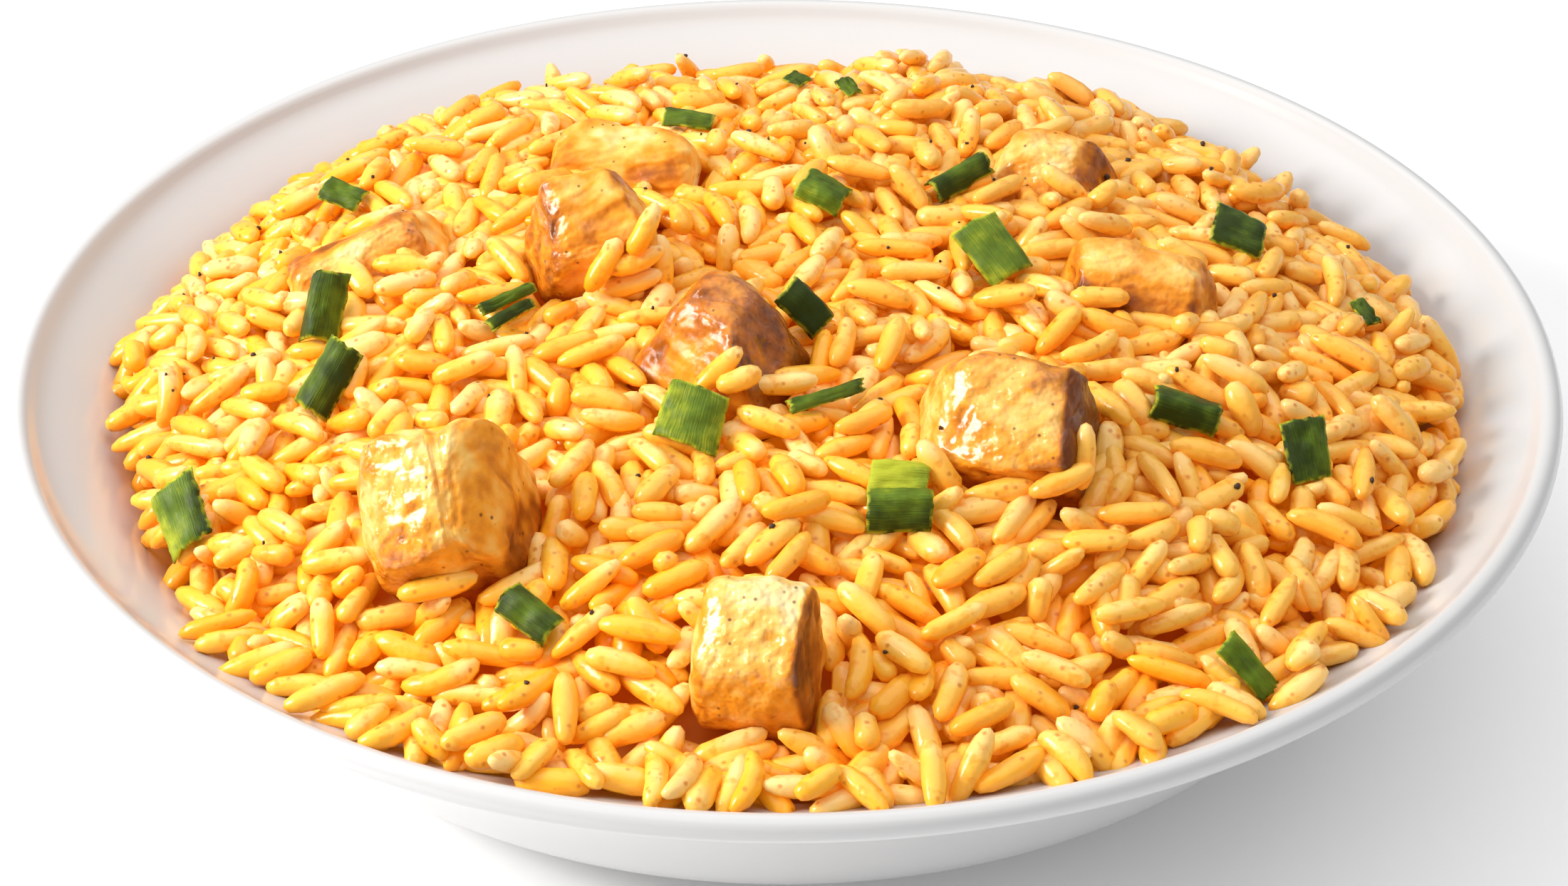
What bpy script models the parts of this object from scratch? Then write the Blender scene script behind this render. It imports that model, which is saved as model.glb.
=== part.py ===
"""Fried rice on a round white plate, with chicken chunks and green onion pieces.

The origin is the centre of the foot's bottom plane, +Z is up and the near side of the plate is at -Y.
All sizes are in metres.
"""
import math
import random

import bmesh
import bpy
from mathutils import Matrix, Vector, noise
from mathutils.bvhtree import BVHTree
from mathutils.geometry import delaunay_2d_cdt

MM = 0.001
CLEARANCE = 0.0003
SEED = 11

# Plate: radius and height pairs in mm, from the floor's centre out to the lip, and back under to the foot
PLATE_STEPS = 52
PLATE_INSIDE = (
    (0.0, 5.8),
    (48.0, 6.1),
    (60.0, 6.6),
    (70.0, 8.0),
    (76.5, 10.6),
    (82.0, 15.0),
    (86.0, 20.0),
    (90.0, 25.8),
    (93.4, 30.6),
    (97.0, 34.4),
    (101.0, 37.0),
    (105.0, 39.2),
)
LIP_CENTRE = (108.2, 39.9)
LIP_RADIUS = 1.8
LIP_ANGLES = (150.0, 110.0, 72.0, 36.0, 0.0, -52.0)
PLATE_OUTSIDE = (
    (106.6, 36.9),
    (103.2, 34.3),
    (98.5, 30.0),
    (92.0, 21.6),
    (86.6, 13.6),
    (82.0, 8.6),
    (77.0, 5.0),
    (71.0, 3.2),
    (67.2, 2.6),
    (66.4, 0.7),
    (65.6, 0.0),
    (62.4, 0.0),
    (61.6, 0.7),
    (61.0, 1.8),
    (0.0, 1.8),
)

# Rice heap
HEAP_RADIUS = 97.3
HEAP_EDGE_LIFT = 1.7
HEAP_EDGE_HEIGHT = 37.0
HEAP_TOP_HEIGHT = 53.6
HEAP_POWER = 3.2
HEAP_EDGE_POINTS = 68
HEAP_SHOULDER_RADIUS = 91.0
HEAP_SHOULDER_SHARES = (0.6, 0.28)
HEAP_WALL_RINGS = (91.0, 87.0, 82.0, 76.0, 66.0)
HEAP_WALL_GAP = 0.5
SWELLS = (
    (-60.0, 52.0, 22.0, 4.0),
    (0.0, 60.0, 18.0, -2.3),
    (32.0, 66.0, 14.0, 3.5),
    (68.0, 48.0, 18.0, 3.0),
)
GRAIN_COUNT = 560
GRAIN_HALF_LENGTH = 2.7
GRAIN_SPACING = 3.5
GRAIN_LIFT = 1.5
VALLEY_SPACING = 3.5
VALLEY_CLEAR = 2.3

# Chicken chunks: x, y, z of the centre, width, depth, height, yaw, tilt to the near side, roll to +X, taper
CHICKEN_SOCKET_GAP = 0.35
CHICKEN = (
    (-23.7, 27.0, 53.0, 21.3, 12.5, 11.0, -8.0, 12.0, 0.0, 0.10),
    (-26.8, -2.6, 59.2, 18.8, 13.0, 18.0, 15.0, 24.0, 0.0, 0.12),
    (-60.2, 4.6, 49.6, 22.7, 13.5, 13.0, 22.0, 22.0, -6.0, 0.20),
    (-7.1, -27.9, 54.7, 21.2, 17.0, 16.0, -32.0, 14.0, 10.0, 0.28),
    (30.4, -45.6, 54.4, 23.4, 17.0, 18.0, -8.0, 28.0, 4.0, 0.10),
    (49.9, -7.5, 51.0, 23.1, 14.0, 13.0, -12.0, 20.0, 2.0, 0.12),
    (40.8, 26.4, 51.0, 19.6, 13.0, 11.5, -14.0, 14.0, 4.0, 0.15),
    (-42.3, -62.4, 53.6, 21.2, 18.0, 21.5, 10.0, 34.0, -4.0, 0.08),
    (-2.8, -85.2, 47.8, 16.6, 14.0, 17.0, -6.0, 16.0, 0.0, 0.05),
)

# Green onion pieces: x, y, z of the centre, length, width, yaw, tilt to the near side, roll to +X
ONION_THICKNESS = 0.8
ONION = (
    (-14.5, 43.3, 53.5, 7.8, 4.0, -14.0, 5.0, 0.0),
    (25.7, 21.5, 55.2, 10.2, 3.8, 38.0, 18.0, 0.0),
    (5.8, 15.1, 55.6, 6.9, 5.9, -28.0, 32.0, 5.0),
    (-65.3, 24.5, 50.7, 6.8, 4.0, -28.0, 25.0, -8.0),
    (65.8, 10.7, 50.9, 7.9, 6.8, -22.0, 38.0, 10.0),
    (29.4, -2.9, 55.4, 9.9, 7.2, -56.0, 30.0, 5.0),
    (-64.3, -10.6, 51.2, 9.8, 5.3, 79.0, 48.0, -13.0),
    (-38.4, -12.6, 54.9, 9.0, 2.0, 37.0, 8.0, 0.0),
    (-37.6, -16.2, 54.6, 7.8, 2.0, 43.0, 8.0, 0.0),
    (3.2, -18.0, 56.4, 7.5, 5.4, -36.0, 30.0, 30.0),
    (83.0, -0.8, 45.5, 4.7, 2.5, -63.0, 18.0, 12.0),
    (-61.7, -27.2, 50.4, 9.8, 5.2, 61.0, 46.0, -10.0),
    (5.5, -37.8, 55.0, 10.8, 2.4, 24.0, 8.0, 0.0),
    (53.5, -36.0, 51.4, 9.1, 5.7, -16.0, 30.0, 8.0),
    (-12.0, -43.2, 54.4, 8.6, 8.0, -15.0, 38.0, 0.0),
    (69.4, -40.0, 47.0, 8.4, 6.3, -80.0, 42.0, 16.0),
    (14.7, -54.2, 53.4, 7.6, 3.4, -2.0, 36.0, 0.0),
    (14.7, -60.2, 52.0, 8.3, 5.4, 0.0, 34.0, 0.0),
    (-79.2, -48.1, 40.9, 9.6, 6.7, -66.0, 42.0, -22.0),
    (-31.5, -76.1, 46.3, 8.3, 4.0, -42.0, 28.0, -8.0),
    (57.6, -78.4, 39.6, 7.8, 4.0, -46.0, 37.0, 16.0),
    (2.1, 64.4, 49.3, 3.6, 2.9, -38.0, 8.0, 0.0),
    (10.1, 58.2, 51.1, 4.6, 2.6, -62.0, 8.0, 0.0),
)

# Colours
PLATE_COLOUR = (0.86, 0.86, 0.85, 1.0)
RICE_COLOUR = (0.83, 0.50, 0.12, 1.0)
CHICKEN_COLOUR = (0.72, 0.47, 0.22, 1.0)
ONION_COLOUR = (0.06, 0.19, 0.03, 1.0)


def material(name, colour, roughness):
    """Return a Principled material of one colour."""
    made = bpy.data.materials.new(name)
    made.use_nodes = True
    shader = made.node_tree.nodes["Principled BSDF"]
    shader.inputs["Base Color"].default_value = colour
    shader.inputs["Roughness"].default_value = roughness
    return made


def add_object(name, mesh, collection, finish, smooth):
    """Link a mesh as a named object with one material."""
    mesh.materials.clear()
    mesh.materials.append(finish)
    for face in mesh.polygons:
        face.use_smooth = smooth
    made = bpy.data.objects.new(name, mesh)
    collection.objects.link(made)
    return made


def turn(tilt, roll, yaw):
    """Return the rotation of a piece: yaw about its own normal, then roll to +X, then tilt to -Y."""
    about_x = Matrix.Rotation(math.radians(tilt), 4, "X")
    about_y = Matrix.Rotation(math.radians(roll), 4, "Y")
    about_z = Matrix.Rotation(math.radians(yaw), 4, "Z")
    return about_x @ about_y @ about_z


def wall_height(radius):
    """Return the height in mm of the plate's inside at a radius."""
    for (r0, z0), (r1, z1) in zip(PLATE_INSIDE, PLATE_INSIDE[1:]):
        if r0 <= radius <= r1:
            return z0 + (z1 - z0) * (radius - r0) / (r1 - r0)
    return PLATE_INSIDE[-1][1]


def edge_radius(angle):
    """Return the radius in mm of the heap's edge in a direction."""
    near = 2.4 * math.cos(angle + 1.08)
    oval = -0.9 * math.cos(2.0 * angle)
    wander = 0.3 * math.cos(3.0 * angle + 0.35)
    return HEAP_RADIUS + near + oval + wander


def heap_height(x, y):
    """Return the height in mm of the heap's smooth surface."""
    share = min(math.hypot(x, y) / edge_radius(math.atan2(y, x)), 1.0)
    height = HEAP_EDGE_HEIGHT + (HEAP_TOP_HEIGHT - HEAP_EDGE_HEIGHT) * (1.0 - share ** HEAP_POWER)
    inside = 1.0 - share ** 6
    for sx, sy, spread, rise in SWELLS:
        gap = (x - sx) ** 2 + (y - sy) ** 2
        height += rise * inside * math.exp(-gap / (2.0 * spread * spread))
    lumps = noise.noise(Vector((x / 14.0, y / 14.0, 3.7)))
    return height + 1.5 * inside * lumps


def build_plate(collection, finish):
    """Turn the plate's profile about the vertical axis."""
    outline = [Vector((r * MM, 0.0, z * MM)) for r, z in PLATE_INSIDE]
    for degrees in LIP_ANGLES:
        angle = math.radians(degrees)
        radius = LIP_CENTRE[0] + LIP_RADIUS * math.cos(angle)
        height = LIP_CENTRE[1] + LIP_RADIUS * math.sin(angle)
        outline.append(Vector((radius * MM, 0.0, height * MM)))
    outline += [Vector((r * MM, 0.0, z * MM)) for r, z in PLATE_OUTSIDE]
    mesh = bpy.data.meshes.new("plate")
    edges = [(i, i + 1) for i in range(len(outline) - 1)]
    mesh.from_pydata([tuple(point) for point in outline], edges, [])
    plate = add_object("plate", mesh, collection, finish, True)
    turned = plate.modifiers.new("turned", "SCREW")
    turned.axis = "Z"
    turned.steps = PLATE_STEPS
    turned.render_steps = PLATE_STEPS
    turned.use_merge_vertices = True
    turned.merge_threshold = 0.00005
    turned.use_smooth_shade = True
    return plate


def chunk_mesh(name, size, narrow, seed, grow):
    """Return a rounded, uneven block of meat in its own frame, grown outward by a margin in mm."""
    chance = random.Random(seed)
    lean = (chance.uniform(-0.12, 0.12), chance.uniform(-0.10, 0.10))
    offset = Vector((chance.uniform(0, 90), chance.uniform(0, 90), chance.uniform(0, 90)))
    half = (size[0] / 2.0, size[1] / 2.0, size[2] / 2.0)
    bm = bmesh.new()
    bmesh.ops.create_cube(bm, size=2.0)
    bmesh.ops.subdivide_edges(bm, edges=bm.edges[:], cuts=3, use_grid_fill=True)
    for vert in bm.verts:
        p = vert.co.copy()
        power = 5.0
        reach = (abs(p.x) ** power + abs(p.y) ** power + abs(p.z) ** power) ** (1.0 / power)
        p = p / reach
        p.x = p.x * (1.0 - narrow * p.z) + lean[0] * p.z
        p.y = p.y * (1.0 - 0.6 * narrow * p.z) + lean[1] * p.z
        swell = 1.0 + 0.10 * noise.noise(p * 1.3 + offset) + 0.05 * noise.noise(p * 2.9 + offset)
        p = Vector((p.x * half[0], p.y * half[1], p.z * half[2])) * swell
        p = p + p.normalized() * grow
        vert.co = p * MM
    bmesh.ops.triangulate(bm, faces=bm.faces[:])
    mesh = bpy.data.meshes.new(name)
    bm.to_mesh(mesh)
    bm.free()
    return mesh


def chunk_place(row):
    """Return the placing matrix of a chunk."""
    spot = Vector(row[0:3]) * MM
    return Matrix.Translation(spot) @ turn(row[7], row[8], row[6])


def build_chicken(collection, finish):
    """Add the chicken chunks, each standing in its own socket of the heap."""
    made = []
    for index, row in enumerate(CHICKEN):
        name = "chicken_%d" % (index + 1)
        mesh = chunk_mesh(name, row[3:6], row[9], SEED + index, 0.0)
        mesh.transform(chunk_place(row))
        made.append(add_object(name, mesh, collection, finish, True))
    return made


def strip_frame(row):
    """Return an onion piece's centre in mm and its turn."""
    return Vector(row[0:3]), turn(row[6], row[7], row[5])


def strip_grid(row, seed, raise_by):
    """Return the middle surface of a curled onion piece as a grid of points in mm."""
    chance = random.Random(seed)
    curl = chance.uniform(0.35, 0.8)
    bow = chance.uniform(-0.25, 0.35)
    slant = chance.uniform(-0.14, 0.14)
    centre, rotation = strip_frame(row)
    grid = []
    for i in range(4):
        u = i / 3.0 - 0.5
        line = []
        for j in range(4):
            v = j / 3.0 - 0.5
            along = row[3] * u + slant * row[4] * v
            across = row[4] * v * (1.0 - 0.10 * u)
            bend = curl * row[4] * (0.12 - v * v * 0.9) + bow * (0.1 - u * u) * 2.0
            point = rotation @ Vector((along, across, bend))
            line.append(point + centre + Vector((0.0, 0.0, raise_by)))
        grid.append(line)
    return grid


def strip_mesh(name, grid, thickness):
    """Thicken a grid of points into a closed strip with both faces split alike."""
    rows, columns = len(grid), len(grid[0])
    normals = []
    for i in range(rows):
        line = []
        for j in range(columns):
            ahead = grid[min(i + 1, rows - 1)][j] - grid[max(i - 1, 0)][j]
            aside = grid[i][min(j + 1, columns - 1)] - grid[i][max(j - 1, 0)]
            line.append(ahead.cross(aside).normalized())
        normals.append(line)
    bm = bmesh.new()
    upper = []
    lower = []
    for i in range(rows):
        shift = [normals[i][j] * thickness / 2.0 for j in range(columns)]
        upper.append([bm.verts.new((grid[i][j] + shift[j]) * MM) for j in range(columns)])
        lower.append([bm.verts.new((grid[i][j] - shift[j]) * MM) for j in range(columns)])
    for i in range(rows - 1):
        for j in range(columns - 1):
            a, b, c, d = upper[i][j], upper[i + 1][j], upper[i + 1][j + 1], upper[i][j + 1]
            bm.faces.new((a, b, c))
            bm.faces.new((a, c, d))
            a, b, c, d = lower[i][j], lower[i + 1][j], lower[i + 1][j + 1], lower[i][j + 1]
            bm.faces.new((a, c, b))
            bm.faces.new((a, d, c))
    loop = [(i, 0) for i in range(rows)]
    loop += [(rows - 1, j) for j in range(1, columns)]
    loop += [(i, columns - 1) for i in range(rows - 2, -1, -1)]
    loop += [(0, j) for j in range(columns - 2, 0, -1)]
    for (i0, j0), (i1, j1) in zip(loop, loop[1:] + loop[:1]):
        bm.faces.new((upper[i0][j0], lower[i0][j0], lower[i1][j1]))
        bm.faces.new((upper[i0][j0], lower[i1][j1], upper[i1][j1]))
    bmesh.ops.recalc_face_normals(bm, faces=bm.faces[:])
    mesh = bpy.data.meshes.new(name)
    bm.to_mesh(mesh)
    bm.free()
    return mesh


def pressed(x, y, height):
    """Return a heap height lowered where an onion piece leans into the heap."""
    for row in ONION:
        if abs(x - row[0]) + abs(y - row[1]) > 22.0:
            continue
        centre, rotation = strip_frame(row)
        normal = rotation @ Vector((0.0, 0.0, 1.0))
        level = centre.z - (normal.x * (x - centre.x) + normal.y * (y - centre.y)) / normal.z
        local = rotation.inverted() @ (Vector((x, y, level)) - centre)
        inside_length = abs(local.x) < row[3] / 2.0 + 2.4
        inside_width = abs(local.y) < row[4] / 2.0 + 2.4
        if inside_length and inside_width:
            height = min(height, level - 1.3)
    return height


def grain_ridges():
    """Return seeded grain centres and directions that keep clear of each other."""
    chance = random.Random(SEED)
    grains = []
    tries = 0
    while len(grains) < GRAIN_COUNT and tries < 60000:
        tries += 1
        angle = chance.uniform(0.0, 2.0 * math.pi)
        limit = edge_radius(angle) - 4.2
        radius = limit * math.sqrt(chance.random())
        x, y = radius * math.cos(angle), radius * math.sin(angle)
        way = chance.uniform(0.0, math.pi)
        step = Vector((math.cos(way), math.sin(way))) * GRAIN_HALF_LENGTH
        points = [Vector((x, y)) + step * k for k in (-1.0, 0.0, 1.0)]
        if max(p.length for p in points) > limit:
            continue
        clear = True
        for other in grains:
            if (other[1] - points[1]).length > 2.0 * GRAIN_HALF_LENGTH + GRAIN_SPACING:
                continue
            nearest = min((p - q).length for p in points for q in other)
            if nearest < GRAIN_SPACING:
                clear = False
                break
        if clear:
            grains.append(points)
    return grains


def valley_points(grains):
    """Return the low points between grains, on a jittered hexagonal lattice."""
    chance = random.Random(SEED + 1)
    ridge = [p for points in grains for p in points]
    cells = {}
    for p in ridge:
        cells.setdefault((int(p.x // 5), int(p.y // 5)), []).append(p)
    found = []
    count = int(200.0 / VALLEY_SPACING)
    for row in range(-count, count):
        for column in range(-count, count):
            x = (column + 0.5 * (row % 2)) * VALLEY_SPACING + chance.uniform(-0.4, 0.4)
            y = row * VALLEY_SPACING * 0.866 + chance.uniform(-0.4, 0.4)
            if math.hypot(x, y) > edge_radius(math.atan2(y, x)) - 2.0:
                continue
            here = Vector((x, y))
            cx, cy = int(x // 5), int(y // 5)
            near = [p for i in (-1, 0, 1) for j in (-1, 0, 1) for p in cells.get((cx + i, cy + j), ())]
            if all((p - here).length > VALLEY_CLEAR for p in near):
                found.append(here)
    return found


def build_heap(collection, finish):
    """Build the rice heap: a relief of grain-sized bumps over a body that follows the plate."""
    grains = grain_ridges()
    valleys = valley_points(grains)
    flat = []
    lifts = []
    links = []
    for points in grains:
        base = len(flat)
        flat += points
        lifts += [GRAIN_LIFT * 0.72, GRAIN_LIFT, GRAIN_LIFT * 0.72]
        links += [(base, base + 1), (base + 1, base + 2)]
    flat += valleys
    lifts += [0.0] * len(valleys)
    for step in range(HEAP_EDGE_POINTS):
        angle = 2.0 * math.pi * step / HEAP_EDGE_POINTS
        radius = edge_radius(angle)
        flat.append(Vector((radius * math.cos(angle), radius * math.sin(angle))))
        lifts.append(None)
    found = delaunay_2d_cdt(flat, links, [], 0, 1e-5)
    points, faces, origins = found[0], found[2], found[3]
    bm = bmesh.new()
    verts = []
    for point, origin in zip(points, origins):
        lift = lifts[origin[0]]
        if lift is None:
            height = wall_height(point.length) + HEAP_EDGE_LIFT
        else:
            floor = wall_height(point.length) + HEAP_EDGE_LIFT
            height = heap_height(point.x, point.y) + lift
            height = max(pressed(point.x, point.y, height), floor)
        verts.append(bm.verts.new((point.x * MM, point.y * MM, height * MM)))
    for face in faces:
        bm.faces.new([verts[i] for i in face])
    rim = [edge for edge in bm.edges if edge.is_boundary]
    around = sorted({v for edge in rim for v in edge.verts}, key=lambda v: math.atan2(v.co.y, v.co.x))
    above = around
    rings = [("share", 1.0)]
    rings += [("share", share) for share in HEAP_SHOULDER_SHARES]
    rings += [("radius", radius) for radius in HEAP_WALL_RINGS]
    for kind, value in rings:
        below = []
        for vert in around:
            edge = math.hypot(vert.co.x, vert.co.y) / MM
            reach = edge - HEAP_WALL_GAP - HEAP_SHOULDER_RADIUS
            radius = HEAP_SHOULDER_RADIUS + reach * value if kind == "share" else value
            height = wall_height(radius + HEAP_WALL_GAP) + HEAP_WALL_GAP
            scale = radius / edge
            below.append(bm.verts.new((vert.co.x * scale, vert.co.y * scale, height * MM)))
        count = len(around)
        for i in range(count):
            j = (i + 1) % count
            bm.faces.new((above[i], below[i], below[j]))
            bm.faces.new((above[i], below[j], above[j]))
        above = below
    centre = bm.verts.new((0.0, 0.0, (wall_height(0.0) + 2.0 * HEAP_WALL_GAP) * MM))
    for i in range(len(above)):
        bm.faces.new((above[i], centre, above[(i + 1) % len(above)]))
    bmesh.ops.recalc_face_normals(bm, faces=bm.faces[:])
    mesh = bpy.data.meshes.new("rice_heap")
    bm.to_mesh(mesh)
    bm.free()
    return add_object("rice_heap", mesh, collection, finish, False)


def keep_largest(mesh):
    """Drop every loose scrap of a mesh but its largest connected part."""
    bm = bmesh.new()
    bm.from_mesh(mesh)
    bmesh.ops.triangulate(bm, faces=bm.faces[:])
    bmesh.ops.dissolve_degenerate(bm, dist=0.00002, edges=bm.edges[:])
    bmesh.ops.triangulate(bm, faces=bm.faces[:])
    left = set(bm.verts)
    parts = []
    while left:
        stack = [left.pop()]
        part = [stack[0]]
        while stack:
            vert = stack.pop()
            for edge in vert.link_edges:
                other = edge.other_vert(vert)
                if other in left:
                    left.remove(other)
                    part.append(other)
                    stack.append(other)
        parts.append(part)
    parts.sort(key=len)
    loose = [vert for part in parts[:-1] for vert in part]
    bmesh.ops.delete(bm, geom=loose, context="VERTS")
    bm.to_mesh(mesh)
    bm.free()


def cut_sockets(heap, finish):
    """Cut a socket for every chicken chunk out of the heap."""
    helpers = bpy.data.collections.new("sockets")
    bpy.context.scene.collection.children.link(helpers)
    for index, row in enumerate(CHICKEN):
        mesh = chunk_mesh("socket_%d" % (index + 1), row[3:6], row[9], SEED + index, CHICKEN_SOCKET_GAP)
        mesh.transform(chunk_place(row))
        cutter = add_object("socket_%d" % (index + 1), mesh, helpers, finish, False)
        cutter.hide_render = True
        cutter.display_type = "WIRE"
    cut = heap.modifiers.new("sockets", "BOOLEAN")
    cut.operation = "DIFFERENCE"
    cut.operand_type = "COLLECTION"
    cut.collection = helpers
    cut.solver = "EXACT"
    bpy.context.view_layer.update()
    seen = heap.evaluated_get(bpy.context.evaluated_depsgraph_get())
    mesh = bpy.data.meshes.new_from_object(seen)
    mesh.name = "rice_heap_cut"
    heap.modifiers.clear()
    keep_largest(mesh)
    heap.data = mesh
    for cutter in list(helpers.objects):
        bpy.data.objects.remove(cutter, do_unlink=True)
    bpy.data.collections.remove(helpers)


def build_onions(collection, finish, supports):
    """Lay the onion pieces over the heap and the chunks, each just clear of what is under it."""
    trees = []
    bpy.context.view_layer.update()
    graph = bpy.context.evaluated_depsgraph_get()
    for thing in supports:
        solid = thing.evaluated_get(graph).to_mesh()
        verts = [v.co.copy() for v in solid.vertices]
        faces = [tuple(p.vertices) for p in solid.polygons]
        trees.append(BVHTree.FromPolygons(verts, faces))
    for index, row in enumerate(ONION):
        name = "green_onion_%02d" % (index + 1)
        lift = 0.0
        grid = strip_grid(row, SEED + 40 + index, lift)
        low = 9.0
        for i in range(3):
            for j in range(3):
                for s in range(5):
                    for t in range(5):
                        a = grid[i][j].lerp(grid[i + 1][j], s / 4.0)
                        b = grid[i][j + 1].lerp(grid[i + 1][j + 1], s / 4.0)
                        p = a.lerp(b, t / 4.0)
                        under = p.z - ONION_THICKNESS * 0.5
                        for tree in trees:
                            hit = tree.ray_cast(Vector((p.x * MM, p.y * MM, 0.2)), Vector((0.0, 0.0, -1.0)))
                            if hit[0] is not None:
                                low = min(low, under - hit[0].z / MM)
        lift = max(0.0, 0.45 - low)
        for attempt in range(30):
            mesh = strip_mesh(name, strip_grid(row, SEED + 40 + index, lift), ONION_THICKNESS)
            verts = [v.co.copy() for v in mesh.vertices]
            faces = [tuple(p.vertices) for p in mesh.polygons]
            own = BVHTree.FromPolygons(verts, faces)
            close = min(tree.find_nearest(v)[3] for tree in trees for v in verts)
            if close >= CLEARANCE * 0.9 and not any(own.overlap(tree) for tree in trees):
                break
            bpy.data.meshes.remove(mesh)
            lift += 0.15
        thing = add_object(name, mesh, collection, finish, False)
        trees.append(own)
        print("onion", name, "lift", round(lift, 2))


def main():
    """Build the plate, the heap, the chunks and the onion pieces."""
    for thing in list(bpy.data.objects):
        bpy.data.objects.remove(thing, do_unlink=True)
    parts = bpy.data.collections.new("fried_rice_plate")
    bpy.context.scene.collection.children.link(parts)
    white = material("plate_glaze", PLATE_COLOUR, 0.15)
    gold = material("rice", RICE_COLOUR, 0.45)
    meat = material("chicken", CHICKEN_COLOUR, 0.4)
    green = material("green_onion", ONION_COLOUR, 0.4)
    plate = build_plate(parts, white)
    chunks = build_chicken(parts, meat)
    heap = build_heap(parts, gold)
    cut_sockets(heap, gold)
    build_onions(parts, green, [heap, plate] + chunks)
    for thing in parts.objects:
        print("piece", thing.name, len(thing.data.polygons))


main()
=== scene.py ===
"""Fried rice on a round white plate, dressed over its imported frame.

Everything is in the frame of the solids: the origin under the middle of the plate, +Z up, the near
side of the plate at -Y. Sizes ending in _mm, and the tables of sizes, are in millimetres.
"""

import itertools
import logging
import math
import random
from dataclasses import dataclass, field
from enum import Enum

import bpy
import numpy as np
from mathutils import Matrix, Vector

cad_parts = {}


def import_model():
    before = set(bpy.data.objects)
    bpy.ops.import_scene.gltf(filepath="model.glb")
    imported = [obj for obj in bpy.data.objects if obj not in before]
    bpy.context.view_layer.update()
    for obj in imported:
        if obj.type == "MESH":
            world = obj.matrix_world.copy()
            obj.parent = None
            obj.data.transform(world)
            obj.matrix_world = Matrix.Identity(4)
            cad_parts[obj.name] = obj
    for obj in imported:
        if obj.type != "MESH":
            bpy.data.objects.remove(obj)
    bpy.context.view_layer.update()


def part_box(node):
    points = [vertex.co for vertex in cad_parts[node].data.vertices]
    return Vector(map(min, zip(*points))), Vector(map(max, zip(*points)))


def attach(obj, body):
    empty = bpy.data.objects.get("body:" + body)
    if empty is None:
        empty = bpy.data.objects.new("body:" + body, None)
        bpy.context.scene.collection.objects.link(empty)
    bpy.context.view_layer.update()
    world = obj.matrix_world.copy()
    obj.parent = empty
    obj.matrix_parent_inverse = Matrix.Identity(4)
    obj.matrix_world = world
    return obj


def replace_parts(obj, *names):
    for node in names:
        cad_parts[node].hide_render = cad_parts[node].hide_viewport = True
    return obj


LOG = logging.getLogger("fried_rice_plate")
MM = 0.001
SEED = 11
NO_HEIGHT = 999.0  # mm, over everything; its negative is under everything
Array = np.ndarray


# Shared surface maths


def hashed(cell: Array, seed: int) -> Array:
    """Give each whole-number place a steady value from -1 to 1.

    Args:
        cell: Whole numbers, with x, y and z on the last axis.
        seed: Another seed gives other values.

    Returns:
        One value for each place: the low bits of its coordinates after mixing by large primes.
    """
    x, y, z = (cell[..., k].astype(np.uint32) for k in range(3))
    mixed = x * np.uint32(374761393) + y * np.uint32(668265263) + z * np.uint32(2246822519)
    mixed = mixed + np.uint32((seed * 3266489917) % 4294967296)
    mixed = (mixed ^ (mixed >> np.uint32(13))) * np.uint32(1274126177)
    mixed = mixed ^ (mixed >> np.uint32(16))
    return mixed.astype(np.float64) / 2147483647.5 - 1.0


def noise(points: Array, seed: int = 0) -> Array:
    """Smooth noise from -1 to 1.

    The value at a point blends the hashed values of the eight corners of its unit cell. Each axis
    weighs them by 3t^2 - 2t^3, where t is how far through the cell the point is.

    Args:
        points: Places, already divided by the wavelength, with x, y and z on the last axis.
        seed: Another seed gives another field.

    Returns:
        One value for each place.
    """
    base = np.floor(points)
    t = points - base
    t = t * t * (3.0 - 2.0 * t)
    cell = base.astype(np.int64)
    total = np.zeros(points.shape[:-1])
    for corner in itertools.product((0, 1), repeat=3):
        weight = np.ones(points.shape[:-1])
        for axis, side in enumerate(corner):
            weight = weight * (t[..., axis] if side else 1.0 - t[..., axis])
        total = total + weight * hashed(cell + np.array(corner), seed)
    return total


def layered(points: Array, seed: int, layers: int = 3) -> Array:
    """Sum of noises, each half as strong and about twice as fine as the one before."""
    return sum(noise(points * 2.03 ** k + 17.3 * k, seed + k) * 0.5 ** k for k in range(layers))


def smoothstep(low: float, high: float, value: Array) -> Array:
    """Rise from 0 at low to 1 at high as 3t^2 - 2t^3."""
    t = np.clip((value - low) / (high - low), 0.0, 1.0)
    return t * t * (3.0 - 2.0 * t)


def smooth_line(points: Array, steps: int) -> Array:
    """Carry a smooth line through points.

    Each span is the cubic that leaves and arrives with half the step between the span's outer
    neighbours (Catmull-Rom).

    Args:
        points: The points, one a row.
        steps: How many pieces each span is cut into.

    Returns:
        The points of the smooth line, one a row.
    """
    ends = (2.0 * points[:1] - points[1:2], points, 2.0 * points[-1:] - points[-2:-1])
    padded = np.vstack(ends)
    a, b, c, d = padded[:-3], padded[1:-2], padded[2:-1], padded[3:]
    t = (np.arange(steps) / steps)[None, :, None]
    a, b, c, d = (p[:, None, :] for p in (a, b, c, d))
    cubic = 2.0 * b + (c - a) * t + (2.0 * a - 5.0 * b + 4.0 * c - d) * t ** 2
    cubic = 0.5 * (cubic + (3.0 * b - a - 3.0 * c + d) * t ** 3)
    return np.vstack([cubic.reshape(-1, points.shape[1]), points[-1:]])


def unit_way(x: float, y: float, z: float) -> Array:
    """A direction made unit length."""
    return np.array([x, y, z]) / math.hypot(x, y, z)


def turning(tilt: float, roll: float, yaw: float) -> Array:
    """Rotation of a piece: yaw about its normal, then roll to +X, then tilt to the near side."""
    tilted = Matrix.Rotation(math.radians(tilt), 3, "X")
    rolled = Matrix.Rotation(math.radians(roll), 3, "Y")
    return np.array(tilted @ rolled @ Matrix.Rotation(math.radians(yaw), 3, "Z"))


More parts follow.
